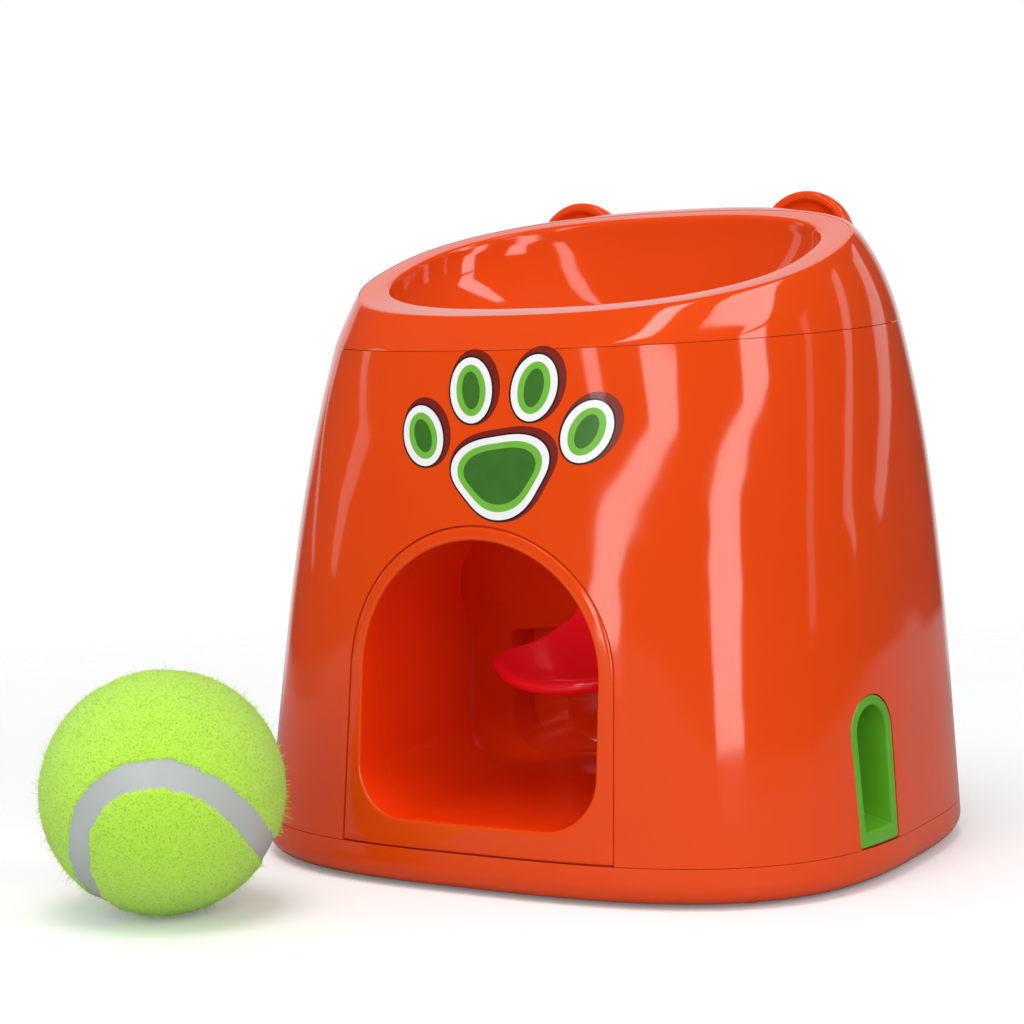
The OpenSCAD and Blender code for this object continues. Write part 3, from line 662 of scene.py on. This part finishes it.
def reach(turn, half, drop, corner=0.0, flare=0.0):
    """Distance from the middle of an arch to its outline, on upright or flared sides."""
    c, s = abs(math.cos(turn)), math.sin(turn)
    if s >= 0:
        return half
    r = min(half / max(c + flare * s, 0.001), drop / -s)
    mid_c, mid_s = half - corner, drop - corner
    if corner and r * c > mid_c and r * -s > mid_s:
        along_ray = mid_c * c - mid_s * s
        r = along_ray + math.sqrt(along_ray**2 - mid_c**2 - mid_s**2 + corner**2)
    return r


def arch_turns(count, *lower_corners):
    """Even bearings round an arch, with those of the outlines' lower corners."""
    turns = {round(math.tau * k / count, 5) for k in range(count)}
    for half, drop in lower_corners:
        bearing = math.atan2(-drop, half) % math.tau
        turns |= {round(bearing, 5), round(math.pi * 3 - bearing, 5)}
    return sorted(turns)


def panel_out(turn, shrink, inset):
    """Point of the panel's outline, shrunk and set into the skin."""
    drop = panel_mid - base_h - seam_gap / 2 - shrink
    r = reach(turn, panel_half - shrink, drop, 0, flare_slope)
    return front(r * math.cos(turn), panel_mid + r * math.sin(turn), inset)


def mouth_in(turn, grown):
    """Place of the mouth's outline, seen from the front."""
    r = reach(turn, mouth_half + grown, panel_mid - sill + grown, mouth_corner + grown)
    return r * math.cos(turn), panel_mid + r * math.sin(turn)


def between(outer, inner, count, onto):
    """Rings on the skin between two rings, all of equal length."""
    shares = [(k + 1) / (count + 1) for k in range(count)]
    return [[onto(a.lerp(b, share)) for a, b in zip(outer, inner)] for share in shares]


outer_edge, lip_edge = 1.0, 0.8
panel_foot_half = 41.43
turns = arch_turns(224, (panel_foot_half, panel_mid - base_h - seam_gap / 2))
rings = [[panel_out(t, 0, wall) for t in turns]]
rings += [[panel_out(t, outer_edge * a, outer_edge * b) for t in turns] for a, b in quarter(5)]
lips = []
for a, b in quarter(5)[::-1]:
    lips.append([passage_on_skin(mouth_in(t, lip_edge * a), lip_edge * b) for t in turns])
rings += between(rings[-1], lips[0], 3, lambda p: front(p.x, p.z)) + lips
sleeve_end = [passage(*mouth_in(t, 0), sleeve_l) for t in turns]
rings += between(rings[-1], sleeve_end, 4, lambda p: p) + [sleeve_end]
rings += [[passage(*mouth_in(t, liner_t), sleeve_l) for t in turns]]
rings += [[passage_on_skin(mouth_in(t, liner_t), wall) for t in turns]]
bm = bmesh.new()
loft(bm, rings, joined=True)
bmesh.ops.recalc_face_normals(bm, faces=bm.faces)
# Faces deeper than the lip take the deeper red copy of the orange, as painted shade inside the sleeve.
sleeve_from = 0.9
for face in bm.faces:
    middle = face.calc_center_median()
    depth = middle.y - front(middle.x, middle.z).y
    face.material_index = int(depth > sleeve_from)
plastics = [orange, painted_shade_orange]
finished("mouth_surround", bm, plastics, "dispenser", "orange_plastic", "mouth_panel")


# Treat chute: one green moulding, an arched tube that ends flush with the tub's side. Its floor
# drops outwards, and behind it a corner and a sloping trough lead up to the rotor.
tube_x = 70.4
tube_r = 7.4
tube_floor = 15.4
ramp = math.tan(math.radians(18))
green = moulded("glossy_green", (0.09, 0.34, 0.012), (0.112, 0.385, 0.018), 0.22, 0.00002)


def chute_out(turn, shrink, inset):
    """Point of the chute's outline, shrunk and set into the skin."""
    r = reach(turn, chute_half - shrink, chute_mid - base_h - panel_gap - shrink)
    return side(chute_y + r * math.cos(turn), chute_mid + r * math.sin(turn), inset)


def chute_in(turn, grown, depth):
    """Place of the tube's outline at a depth, by which its floor has climbed."""
    r = reach(turn, tube_r + grown, chute_mid - tube_floor + grown - depth * ramp)
    return chute_y + r * math.cos(turn), chute_mid + r * math.sin(turn)


def block(bm, spans):
    """A box over its spans along X, Y and Z."""
    cube = bmesh.ops.create_cube(bm, size=1)["verts"]
    bmesh.ops.scale(bm, verts=cube, vec=[high - low for low, high in spans])
    bmesh.ops.translate(bm, verts=cube, vec=[(low + high) / 2 for low, high in spans])


def at_tube_end(place):
    return Vector((tube_x, *place))


bm = bmesh.new()
turns = arch_turns(96, (chute_half, chute_mid - base_h - panel_gap), (tube_r, chute_mid - tube_floor))
edge = 0.8
rings = [[at_tube_end(chute_out(t, 0, 0).yz) for t in turns]]
rings += [[chute_out(t, edge * a, edge * b) for t in turns] for a, b in quarter(5)]
lips = [[side(*chute_in(t, edge * a, 0), edge * b) for t in turns] for a, b in quarter(5)[::-1]]
rings += between(rings[-1], lips[0], 1, lambda p: side(p.y, p.z)) + lips
tube_l = 23.5
for share in (0.15, 0.4, 0.7, 1.0):
    ring = []
    for turn, start in zip(turns, lips[-1]):
        y, z = chute_in(turn, 0, share * tube_l)
        ring.append(Vector((start.x + share * (tube_x - start.x), y, z)))
    rings.append(ring)
loft(bm, rings, joined=True)
thin = 1.8
inner_x = 47.4
corner_front, corner_back = -40.1, -19.5
corner_low, corner_top = 22.0, 48.0
trough_l, trough_h = 45.0, 9.0
trough_pitch, trough_y, trough_z = math.radians(24), -20.5, 27
leg_r, leg_top = 4, 22.5
long_x, long_y, long_z = (inner_x, tube_x), (corner_front, corner_back), (corner_low, corner_top)
walls = [
    [long_x, long_y, (corner_low, corner_low + thin)],
    [(inner_x, inner_x + thin), long_y, long_z],
    [long_x, (corner_front, corner_front + thin), long_z],
    [long_x, (corner_back - thin, corner_back), (36.0, corner_top)],
]
for spans in walls:
    block(bm, spans)
trough = bmesh.new()
for spans in (
    [long_x, (0, trough_l), (0, thin)],
    [(inner_x, inner_x + thin), (0, trough_l), (0, trough_h)],
    [(tube_x - thin, tube_x), (0, trough_l), (0, trough_h)],
    [long_x, (trough_l - thin, trough_l), (0, trough_h)],
):
    block(trough, spans)
bmesh.ops.rotate(trough, verts=trough.verts, matrix=Matrix.Rotation(trough_pitch, 3, "X"))
bmesh.ops.translate(trough, verts=trough.verts, vec=(0, trough_y, trough_z))
joint_mesh = bpy.data.meshes.new("trough")
trough.to_mesh(joint_mesh)
trough.free()
bm.from_mesh(joint_mesh)
bpy.data.meshes.remove(joint_mesh)
pillar(bm, chute_leg_x, chute_y, seat_z, leg_top, leg_r)
bmesh.ops.recalc_face_normals(bm, faces=bm.faces)
finished("chute_moulding", bm, green, "dispenser", "green_plastic", "treat_chute")


# Lid: the upper part of the body, with a flat inclined rim round a funnel that ends in the drop
# neck. One orange moulding, held in the tub by a spigot and lifted off to fill the hopper.
rim_z = 172.0
rim_slope = math.tan(math.radians(17.9))
rim_round = 2.42
rim_w, rim_d, rim_y = 145.6, 100.6, -5.5
rim_side, rim_front = 8.8, 6.0
rim_brow, rim_lift, brow_power = 6.0, 1.4, 1.6
shoulder = 2.6
bowl_z = 137.0
neck_y = -17.0
neck_r = 33.5
neck_wall = 2.1
neck_end = 97.5
lid_columns = even_angles(224, 2.3)


def rim_point(angle, side_in, front_in, drop=0.0):
    """Point of the rim, set in from its outer edge and dropped."""
    x = (rim_w / 2 - side_in) * bend(math.cos(angle), rim_round)
    y = (rim_d / 2 - front_in) * bend(math.sin(angle), rim_round) + rim_y
    return Vector((x, y, rim_z + rim_slope * y - drop))


def brow(angle):
    """How much of the front a bearing belongs to: there the rim's edge stands further out."""
    return max(-math.sin(angle), 0) ** 2


def lid_point(angle, u, inset=0.0):
    """Point of the lid's skin, from the seam (0) to the rim's outer edge (1)."""
    z0 = (seam_z + seam_gap / 2) * (1 - u) + rim_z * u
    slope = seam_slope * (1 - u) + rim_slope * u
    share = brow(angle)
    w = (1 - math.sqrt(max(1 - u**shoulder, 0))) * (1 - share) + u**brow_power * share
    edge = rim_point(angle, inset, inset)
    edge.y -= rim_brow * share
    point = skin_on_plane(angle, inset, z0, slope).lerp(edge, w)
    point.z = z0 + slope * point.y + rim_lift * share * u**2
    return point


def neck_point(angle, z, out=0.0):
    """Point of the neck's inner wall, or of one further out."""
    r = neck_r + out
    return Vector((r * math.cos(angle), r * math.sin(angle) + neck_y, z))


def bowl_point(angle, u, inset=0.0):
    """Point of the funnel, from the rim's inner edge (0) to the neck (1)."""
    start = rim_point(angle, rim_side + inset, rim_front + inset)
    end = neck_point(angle, bowl_z + inset, -inset)
    x, y, _ = start.lerp(end, u**1.5)
    return Vector((x, y, start.z + (end.z - start.z) * u**0.8))


def curve(a, b, c, share):
    """Point of the round from a to c that b pulls towards itself."""
    return a.lerp(b, share).lerp(b.lerp(c, share), share)


shares = [0.08 * k for k in range(11)]
shares += [(1 - (1 - w) ** 2) ** (1 / shoulder) for w in (0.37 + 0.062 * k for k in range(11))]
rings = [[lid_point(a, u) for a in lid_columns] for u in shares]
crease, rim_edge = 0.9, 1.3
brow_ring = []
for angle in lid_columns:
    below, top = lid_point(angle, 0.95), lid_point(angle, 1)
    inner = rim_point(angle, rim_side, rim_front)
    brow_ring.append((top.lerp(below, crease / (top - below).length), top, inner))
for share in (0, 0.25, 0.5, 0.75, 1):
    ring = []
    for below, top, inner in brow_ring:
        beyond = top.lerp(inner, crease / (top - inner).length)
        ring.append(curve(below, top, beyond, share))
    rings.append(ring)
for a, b in quarter(5)[::-1]:
    in_by = [rim_side - rim_edge * a, rim_front - rim_edge * a]
    rings.append([rim_point(angle, *in_by, rim_edge * b) for angle in lid_columns])
rings += [[bowl_point(a, u) for a in lid_columns] for u in (0.035 * k for k in range(1, 27))]
for k in range(9):
    ring = []
    for a in lid_columns:
        ring.append(curve(bowl_point(a, 0.93), neck_point(a, bowl_z), neck_point(a, 132), k / 8))
    rings.append(ring)
rings += [[neck_point(a, z) for a in lid_columns] for z in (124, 115, 106, neck_end)]
rings += [[neck_point(a, z, neck_wall) for a in lid_columns] for z in (neck_end, 112, 124)]
underside = [0.05 * k for k in range(19, 2, -1)]
rings += [[bowl_point(a, u, -wall) for a in lid_columns] for u in underside]
inside = [0.07 * k for k in range(12, -1, -1)]
rings += [[lid_point(a, u, wall) for a in lid_columns] for u in inside]
bm = bmesh.new()
loft(bm, rings, joined=True)
bmesh.ops.recalc_face_normals(bm, faces=bm.faces)
lid = finished("lid_funnel", bm, orange, "lid", "orange_plastic", "funnel_lid")
soften(lid, 0.3)
bm = bmesh.new()
spigot_out, spigot_in = 2.85, 4.7
spigot_low, spigot_top = -4, 1.2
spigot = [(spigot_out, spigot_low), (spigot_out, spigot_top)]
spigot += [(spigot_in, spigot_top), (spigot_in, spigot_low)]
rings = []
for inset, rise in spigot:
    ring = [skin_on_plane(a, inset, seam_z, seam_slope) for a in lid_columns]
    rings.append([p + Vector((0, 0, rise)) for p in ring])
loft(bm, rings, joined=True)
bmesh.ops.recalc_face_normals(bm, faces=bm.faces)
soften(finished("lid_spigot", bm, orange, "lid", "orange_plastic"), 0.3)


# Ears: two round tabs behind the rim, hollowed in front, let into the lid's back and glued.
# Turned from one profile, so that the raised edge is round all along.
ear_r = 15.0
ear_x, ear_y, ear_z = 38.7, 55.5, 176.9
ear_foot = 169.5
for side_name, sign in (("left", -1), ("right", 1)):
    dip = ear_r - 4.4
    profile = [(0, 1.6), (dip, 1.6)]
    profile += [(dip + 1.2 * math.sin(q), 0.4 + 1.2 * math.cos(q)) for q in (0.5, 1.0)]
    profile += [(dip + 1.3, 0.75), (dip + 1.6, 0.3), (dip + 2.3, 0.0), (dip + 2.9, 0.05)]
    profile += [(ear_r - 1.6 + 1.6 * math.sin(q), 1.6 - 1.6 * math.cos(q)) for q in (0.5, 1, 1.5)]
    profile += [(ear_r, 3.0), (ear_r - 0.1, 4.8), (ear_r - 0.6, 5.6), (ear_r - 1.4, 6.0), (0, 6.0)]
    bm = bmesh.new()
    verts = [bm.verts.new((0, depth, r)) for r, depth in profile]
    line = [bm.edges.new(pair) for pair in zip(verts, verts[1:])]
    bmesh.ops.spin(
        bm, geom=verts + line, cent=(0, 0, 0), axis=(0, 1, 0), angle=math.tau, steps=72
    )
    bmesh.ops.remove_doubles(bm, verts=bm.verts, dist=0.001)
    bmesh.ops.translate(bm, verts=bm.verts, vec=(sign * ear_x, ear_y, ear_z))
    whole = bm.verts[:] + bm.edges[:] + bm.faces[:]
    cut = bmesh.ops.bisect_plane(
        bm, geom=whole, plane_co=(0, 0, ear_foot), plane_no=(0, 0, -1), clear_outer=True
    )
    bmesh.ops.contextual_create(
        bm, geom=[item for item in cut["geom_cut"] if isinstance(item, bmesh.types.BMEdge)]
    )
    bmesh.ops.recalc_face_normals(bm, faces=bm.faces)
    finished("ear_tab_" + side_name, bm, orange, "lid", "orange_plastic", "ear_" + side_name)


# Tongue: the lever that the ball tips, one red moulding. A narrow root flares into a crescent
# lip with thick round edges, and a hub clamps it on the steel shaft.
red = moulded("glossy_red", (0.88, 0.006, 0.018), (0.94, 0.01, 0.024), 0.12, 0.00006, 22.0)
pivot = Vector((0, 28, 77.5))
droop = math.radians(22.9)
tongue_l = 77.0
root_half = 13.5
flare_from = 37.0
flare_r = 21.0
crescent_r, crescent_half, lip_half = 40, 30.2, 31.4
tongue_edge = 2.6
hub_r = 8
lug_size, lug_place = (4.5, 4, 4), (14.75, -13, -0.5)


def tongue_point(u, v, up):
    """Point of the tongue: u from root to lip, v across, up or down its thickness."""
    lag = crescent_r - math.sqrt(crescent_r**2 - (crescent_half * v) ** 2)
    edge_lag = crescent_r - math.sqrt(crescent_r**2 - crescent_half**2)
    edge_s = tongue_l * u - edge_lag * u**3
    spread = min(max(edge_s - flare_from, 0), flare_r * 0.86)
    half = root_half + flare_r - math.sqrt(flare_r**2 - spread**2)
    half += 1.0 * min(spread, 1)
    x = min(half, lip_half) * v
    s = tongue_l * u - lag * u**3
    to_side = min((1 - abs(v)) * half / tongue_edge, 1)
    to_lip = min((1 - u) * tongue_l / tongue_edge, 1)
    body = math.sqrt(1 - (1 - to_side) ** 2) * math.sqrt(1 - (1 - to_lip) ** 2)
    thick = 2.0 + 0.35 * math.exp(-(((1 - u) * tongue_l - 4) / 4) ** 2)
    dish = 2.5 * u**3 - 0.6 * (u * v) ** 2 - 0.7 * u
    z = -0.5 + dish + up * thick * body
    return pivot + Vector(
        (x, -s * math.cos(droop) - z * math.sin(droop), -s * math.sin(droop) + z * math.cos(droop))
    )


bm = bmesh.new()
for up in (1, -1):
    made = bmesh.ops.create_grid(bm, x_segments=96, y_segments=56, size=1)["verts"]
    for vert in made:
        u = math.sin((vert.co.x + 1) / 2 * math.pi / 2)
        v = math.sin(vert.co.y * math.pi / 2)
        vert.co = tongue_point(u, v, up)
bmesh.ops.remove_doubles(bm, verts=bm.verts, dist=0.002)
bmesh.ops.recalc_face_normals(bm, faces=bm.faces)
bmesh.ops.create_cone(
    bm,
    cap_ends=True,
    segments=64,
    radius1=hub_r,
    radius2=hub_r,
    depth=2 * root_half,
    matrix=Matrix.Translation(pivot) @ Matrix.Rotation(math.pi / 2, 4, "Y"),
)
lug = bmesh.ops.create_cube(bm, size=1)["verts"]
bmesh.ops.scale(bm, verts=lug, vec=lug_size)
lug_at = Matrix.Translation(pivot) @ Matrix.Rotation(droop, 4, "X")
bmesh.ops.transform(bm, verts=lug, matrix=lug_at @ Matrix.Translation(lug_place))
tongue = finished("tongue_lever", bm, red, "lever", "red_plastic", "tongue")
soften(tongue, 0.5, 2, 60)


# Ball: worn felt on a rubber core. The smooth seam band winds over it, and loose fibres stand
# out of the felt.
ball_r = 31.75
ball_at = Vector((-62, -137.5, ball_r))
seam_band = 3.4
felt_green = Finish("worn_felt", {"Roughness": 0.95, "Sheen Weight": 0.3, "Sheen Roughness": 0.6})
tufts = felt_green.noise(420.0, 4.0, 0.7)
patches = felt_green.noise(45.0, 3.0)
pale = felt_green.mix(patches, (0.44, 0.9, 0.012), (0.54, 0.97, 0.02))
specks = felt_green.add("MapRange", None, {0: felt_green.noise(1900.0, 3.0, 0.6), 1: 0.34, 2: 0.47})
felt_green.put(
    felt_green.shader,
    {
        "Base Color": felt_green.mix(
            specks, (0.31, 0.66, 0.02), felt_green.mix(tufts, pale, (0.6, 0.98, 0.06))
        ),
        "Normal": felt_green.bump(felt_green.noise(1500.0, 5.0, 0.75), 0.0006),
    },
)
seam_grey = Finish("seam_rubber", {"Roughness": 0.45})
seam_specks = seam_grey.noise(900.0, 4.0, 0.6)
seam_clouds = seam_grey.noise(60.0, 2.0)
seam_grey.put(
    seam_grey.shader,
    {
        "Base Color": seam_grey.mix(seam_clouds, (0.38, 0.41, 0.4), (0.48, 0.52, 0.5)),
        "Roughness": 0.4 + 0.2 * seam_specks,
        "Normal": seam_grey.bump(seam_specks, 0.00004),
    },
)
seam_turn = Matrix.Rotation(-1.855, 3, "Z") @ Matrix.Rotation(0.6765, 3, "Y")
seam_turn = seam_turn @ Matrix.Rotation(-0.2011, 3, "X")
# The seam is a closed curve with four bends on the ball, turned as the ball lies.
seam_line = []
for k in range(360):
    t = math.tau * k / 360
    at = Vector(
        (
            0.8 * math.cos(t) + 0.2 * math.cos(3 * t),
            0.8 * math.sin(t) - 0.2 * math.sin(3 * t),
            0.8 * math.sin(2 * t),
        )
    )
    seam_line.append(seam_turn @ at.normalized())
seam_tree = kdtree.KDTree(len(seam_line))
for k, at in enumerate(seam_line):
    seam_tree.insert(at, k)
seam_tree.balance()


def off_seam(way):
    """Distance of a place on the ball from the band's frayed edge, in millimetres."""
    fray = noise.noise(way * 4) * 0.9 + noise.noise(way * 17) * 0.5 + noise.noise(way * 60) * 0.15
    return seam_tree.find(way)[2] * ball_r - seam_band - fray


bm = bmesh.new()
bmesh.ops.create_icosphere(bm, subdivisions=7, radius=1)
for vert in bm.verts:
    way = vert.co.normalized()
    rise = min(max(off_seam(way) / 0.5, 0), 1)
    bumps = noise.noise(way * 9) * 0.12 + noise.noise(way * 70) * 0.1
    vert.co = ball_at + way * (ball_r - 0.75 + rise * (0.55 + bumps))
for face in bm.faces:
    face.material_index = int(off_seam((face.calc_center_median() - ball_at).normalized()) < 0.1)
finishes = [felt_green.material, seam_grey.material]
finished("ball_cover", bm, finishes, "ball", "ball_felt", "ball_felt")

fibre_finish = Finish("felt_fibre", {"Roughness": 0.9})
fibre_clouds = fibre_finish.noise(200.0, 2.0)
fibre_finish.put(
    fibre_finish.shader,
    {"Base Color": fibre_finish.mix(fibre_clouds, (0.34, 0.6, 0.03), (0.55, 0.82, 0.08))},
)
rng = random.Random(7)
fibre_count, fibre_width = 9000, 0.05
furthest, lowest = ball_r + 2.4, 0.4
bm = bmesh.new()
for _ in range(fibre_count):
    way = Vector((rng.gauss(0, 1), rng.gauss(0, 1), rng.gauss(0, 1))).normalized()
    if off_seam(way) < 0.3:
        continue
    drift = Vector((rng.gauss(0, 1), rng.gauss(0, 1), rng.gauss(0, 1))) * 0.65
    length = rng.uniform(0.7, 2.0) if rng.random() < 0.94 else rng.uniform(2.5, 6)
    flow = way + drift
    across_fibre = flow.cross(way).normalized() * fibre_width
    place_now = ball_at + way * (ball_r - 0.35)
    strip = [(place_now - across_fibre, place_now + across_fibre)]
    for step in range(3):
        curl = Vector((rng.gauss(0, 1), rng.gauss(0, 1), rng.gauss(0, 1))) * 0.35
        flow = (flow.normalized() + curl).normalized()
        place_now = place_now + flow * length / 3
        reach_now = (place_now - ball_at).length
        if place_now.z < lowest or reach_now < ball_r - 0.4 or reach_now > furthest:
            span = min(max(reach_now, ball_r - 0.2), furthest)
            place_now = ball_at + (place_now - ball_at).normalized() * span
            place_now.z = max(place_now.z, lowest)
        slim = 1 - step / 3
        strip.append((place_now - across_fibre * slim, place_now + across_fibre * slim))
    verts = [(bm.verts.new(a), bm.verts.new(b)) for a, b in strip]
    for (a, b), (c, d) in zip(verts, verts[1:]):
        bm.faces.new((a, b, d, c))
finished("ball_fuzz", bm, fibre_finish.material, "ball", "ball_felt")


# Paw print: a printed foil on the tub's front, over the mouth. A plain design in greens and white,
# each spot with a thin black line and a dark red shadow behind its upper right.
# Each spot: its middle across and up, its half width and half height, and its lean in degrees.
spots = [
    (7.0, 111.5, 14.0, 11.0, 8),
    (-17.5, 121.5, 6.4, 8.4, 24),
    (-3.0, 133.5, 6.4, 8.8, 10),
    (15.5, 134.0, 6.4, 8.8, -8),
    (30.5, 122.5, 6.4, 8.4, -24),
]
inks = [
    ("print_dark_green", (0.03, 0.13, 0.012), (0.045, 0.18, 0.016)),
    ("print_green", (0.13, 0.42, 0.03), (0.17, 0.48, 0.045)),
    ("print_white", (0.78, 0.78, 0.8), (0.86, 0.86, 0.87)),
    ("print_black", (0.006, 0.006, 0.006), (0.012, 0.012, 0.012)),
    ("print_dark_red", (0.16, 0.006, 0.003), (0.21, 0.01, 0.005)),
]
foils = []
for ink_name, low, high in inks:
    foil = Finish(ink_name, {"IOR": 1.5, "Coat Weight": 0.5, "Coat Roughness": 0.05})
    mottle = foil.noise(240.0, 3.0)
    foil.put(
        foil.shader,
        {
            "Base Color": foil.mix(mottle, low, high),
            "Roughness": 0.2 + 0.1 * mottle,
            "Normal": foil.bump(foil.noise(34.0, 1.0), 0.00008),
        },
    )
    foils.append(foil.material)
bm = bmesh.new()
steps = 72


def spot_ring(spot, grown, shift, lift):
    """Ring parallel to a spot's outline, on the tub's skin. The first spot has three lobes."""
    cx, cz, rx, rz, lean = spot
    places = []
    for k in range(steps):
        t = math.tau * k / steps
        lobes = 1 + 0.1 * math.cos(3 * (t - math.pi / 2) + math.pi) if spot is spots[0] else 1
        x, z = (rx + grown) * lobes * math.cos(t), (rz + grown) * lobes * math.sin(t)
        turn = math.radians(lean)
        x, z = x * math.cos(turn) - z * math.sin(turn), x * math.sin(turn) + z * math.cos(turn)
        places.append(front(cx + x + shift[0], cz + z + shift[1], -lift))
    return places


for spot in spots:
    reach_in = min(spot[2], spot[3])
    for bands, shift, lift in (
        ([(1.3, 4), (-1.5, 4)], (1.0, 0.9), 0.03),
        ([(0.5, 3), (0, 2), (-1.9, 1), (-3.7, 0), (-reach_in * 0.98, 0)], (0, 0), 0.07),
    ):
        chain = start_loop(bm, spot_ring(spot, bands[0][0], shift, lift))
        for (_, ink), (inner, _) in zip(bands, bands[1:]):
            known = set(bm.faces)
            chain = grow(bm, chain, spot_ring(spot, inner, shift, lift))
            for face in set(bm.faces) - known:
                face.material_index = ink
        if lift > 0.05:
            bmesh.ops.contextual_create(bm, geom=edges_of(bm, chain))
bmesh.ops.recalc_face_normals(bm, faces=bm.faces)
for face in bm.faces:
    if face.normal.y > 0:
        face.normal_flip()
finished("paw_print", bm, foils, "dispenser", "orange_plastic")


# Inner parts: kept as the solids have them, each with a finish for its stuff. Black uprights and
# rubber feet, brass bushings, steel shaft, screws, clips and spring, orange hopper, green rotor.
def metal(name, low, high, roughness, grain):
    """Bare metal with turning marks across its length and a few darker stains."""
    stuff = Finish(name, {"Metallic": 1.0})
    marks = stuff.add("Mapping", None, {"Vector": stuff.place, "Scale": grain})
    lines = stuff.add("TexNoise", None, {"Vector": marks, "Scale": 1.0, "Detail": 3.0})
    stains = stuff.noise(120.0, 3.0)
    stuff.put(
        stuff.shader,
        {
            "Base Color": stuff.mix(stains, low, high),
            "Roughness": roughness + 0.2 * lines,
            "Normal": stuff.bump(lines, 0.000004),
        },
    )
    return stuff.material


def grained(name, low, high, roughness, scale, depth):
    """Matt plastic, rubber or paint with an even grain and cloudy wear."""
    stuff = Finish(name, {"IOR": 1.5})
    grit = stuff.noise(scale, 4.0, 0.6)
    wear = stuff.noise(40.0, 3.0)
    stuff.put(
        stuff.shader,
        {
            "Base Color": stuff.mix(wear, low, high),
            "Roughness": roughness + 0.15 * grit,
            "Normal": stuff.bump(grit, depth),
        },
    )
    return stuff.material


steel = metal("turned_steel", (0.5, 0.51, 0.52), (0.62, 0.63, 0.65), 0.22, (2500, 60, 60))
spring = metal("spring_wire", (0.36, 0.37, 0.39), (0.5, 0.51, 0.53), 0.18, (60, 1500, 1500))
brass = metal("bushing_brass", (0.55, 0.36, 0.12), (0.7, 0.47, 0.17), 0.25, (60, 2200, 2200))
black = grained("black_nylon", (0.012, 0.012, 0.014), (0.022, 0.022, 0.025), 0.38, 900, 0.00002)
rubber = grained("foot_rubber", (0.015, 0.015, 0.015), (0.032, 0.031, 0.03), 0.7, 1400, 0.00003)
core = grained("core_rubber", (0.2, 0.21, 0.19), (0.28, 0.29, 0.26), 0.6, 800, 0.00003)
kept = {
    # The throat liner is the same orange plastic and takes its deeper red copy, as painted shade.
    "throat_liner": painted_shade_orange,
    "treat_hopper": orange,
    "metering_rotor": green,
    "foot_pads": rubber,
    "side_frame_left": black,
    "side_frame_right": black,
    "bushing_left": brass,
    "bushing_right": brass,
    "return_spring": spring,
    "base_screws": steel,
    "inner_screws": steel,
    "hopper_screws": steel,
    "hub_screws": steel,
    "shaft_clips": steel,
    "cross_shaft": steel,
    "ball_core": core,
}
for node_name, material in kept.items():
    for material_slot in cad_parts[node_name].material_slots:
        material_slot.material = material
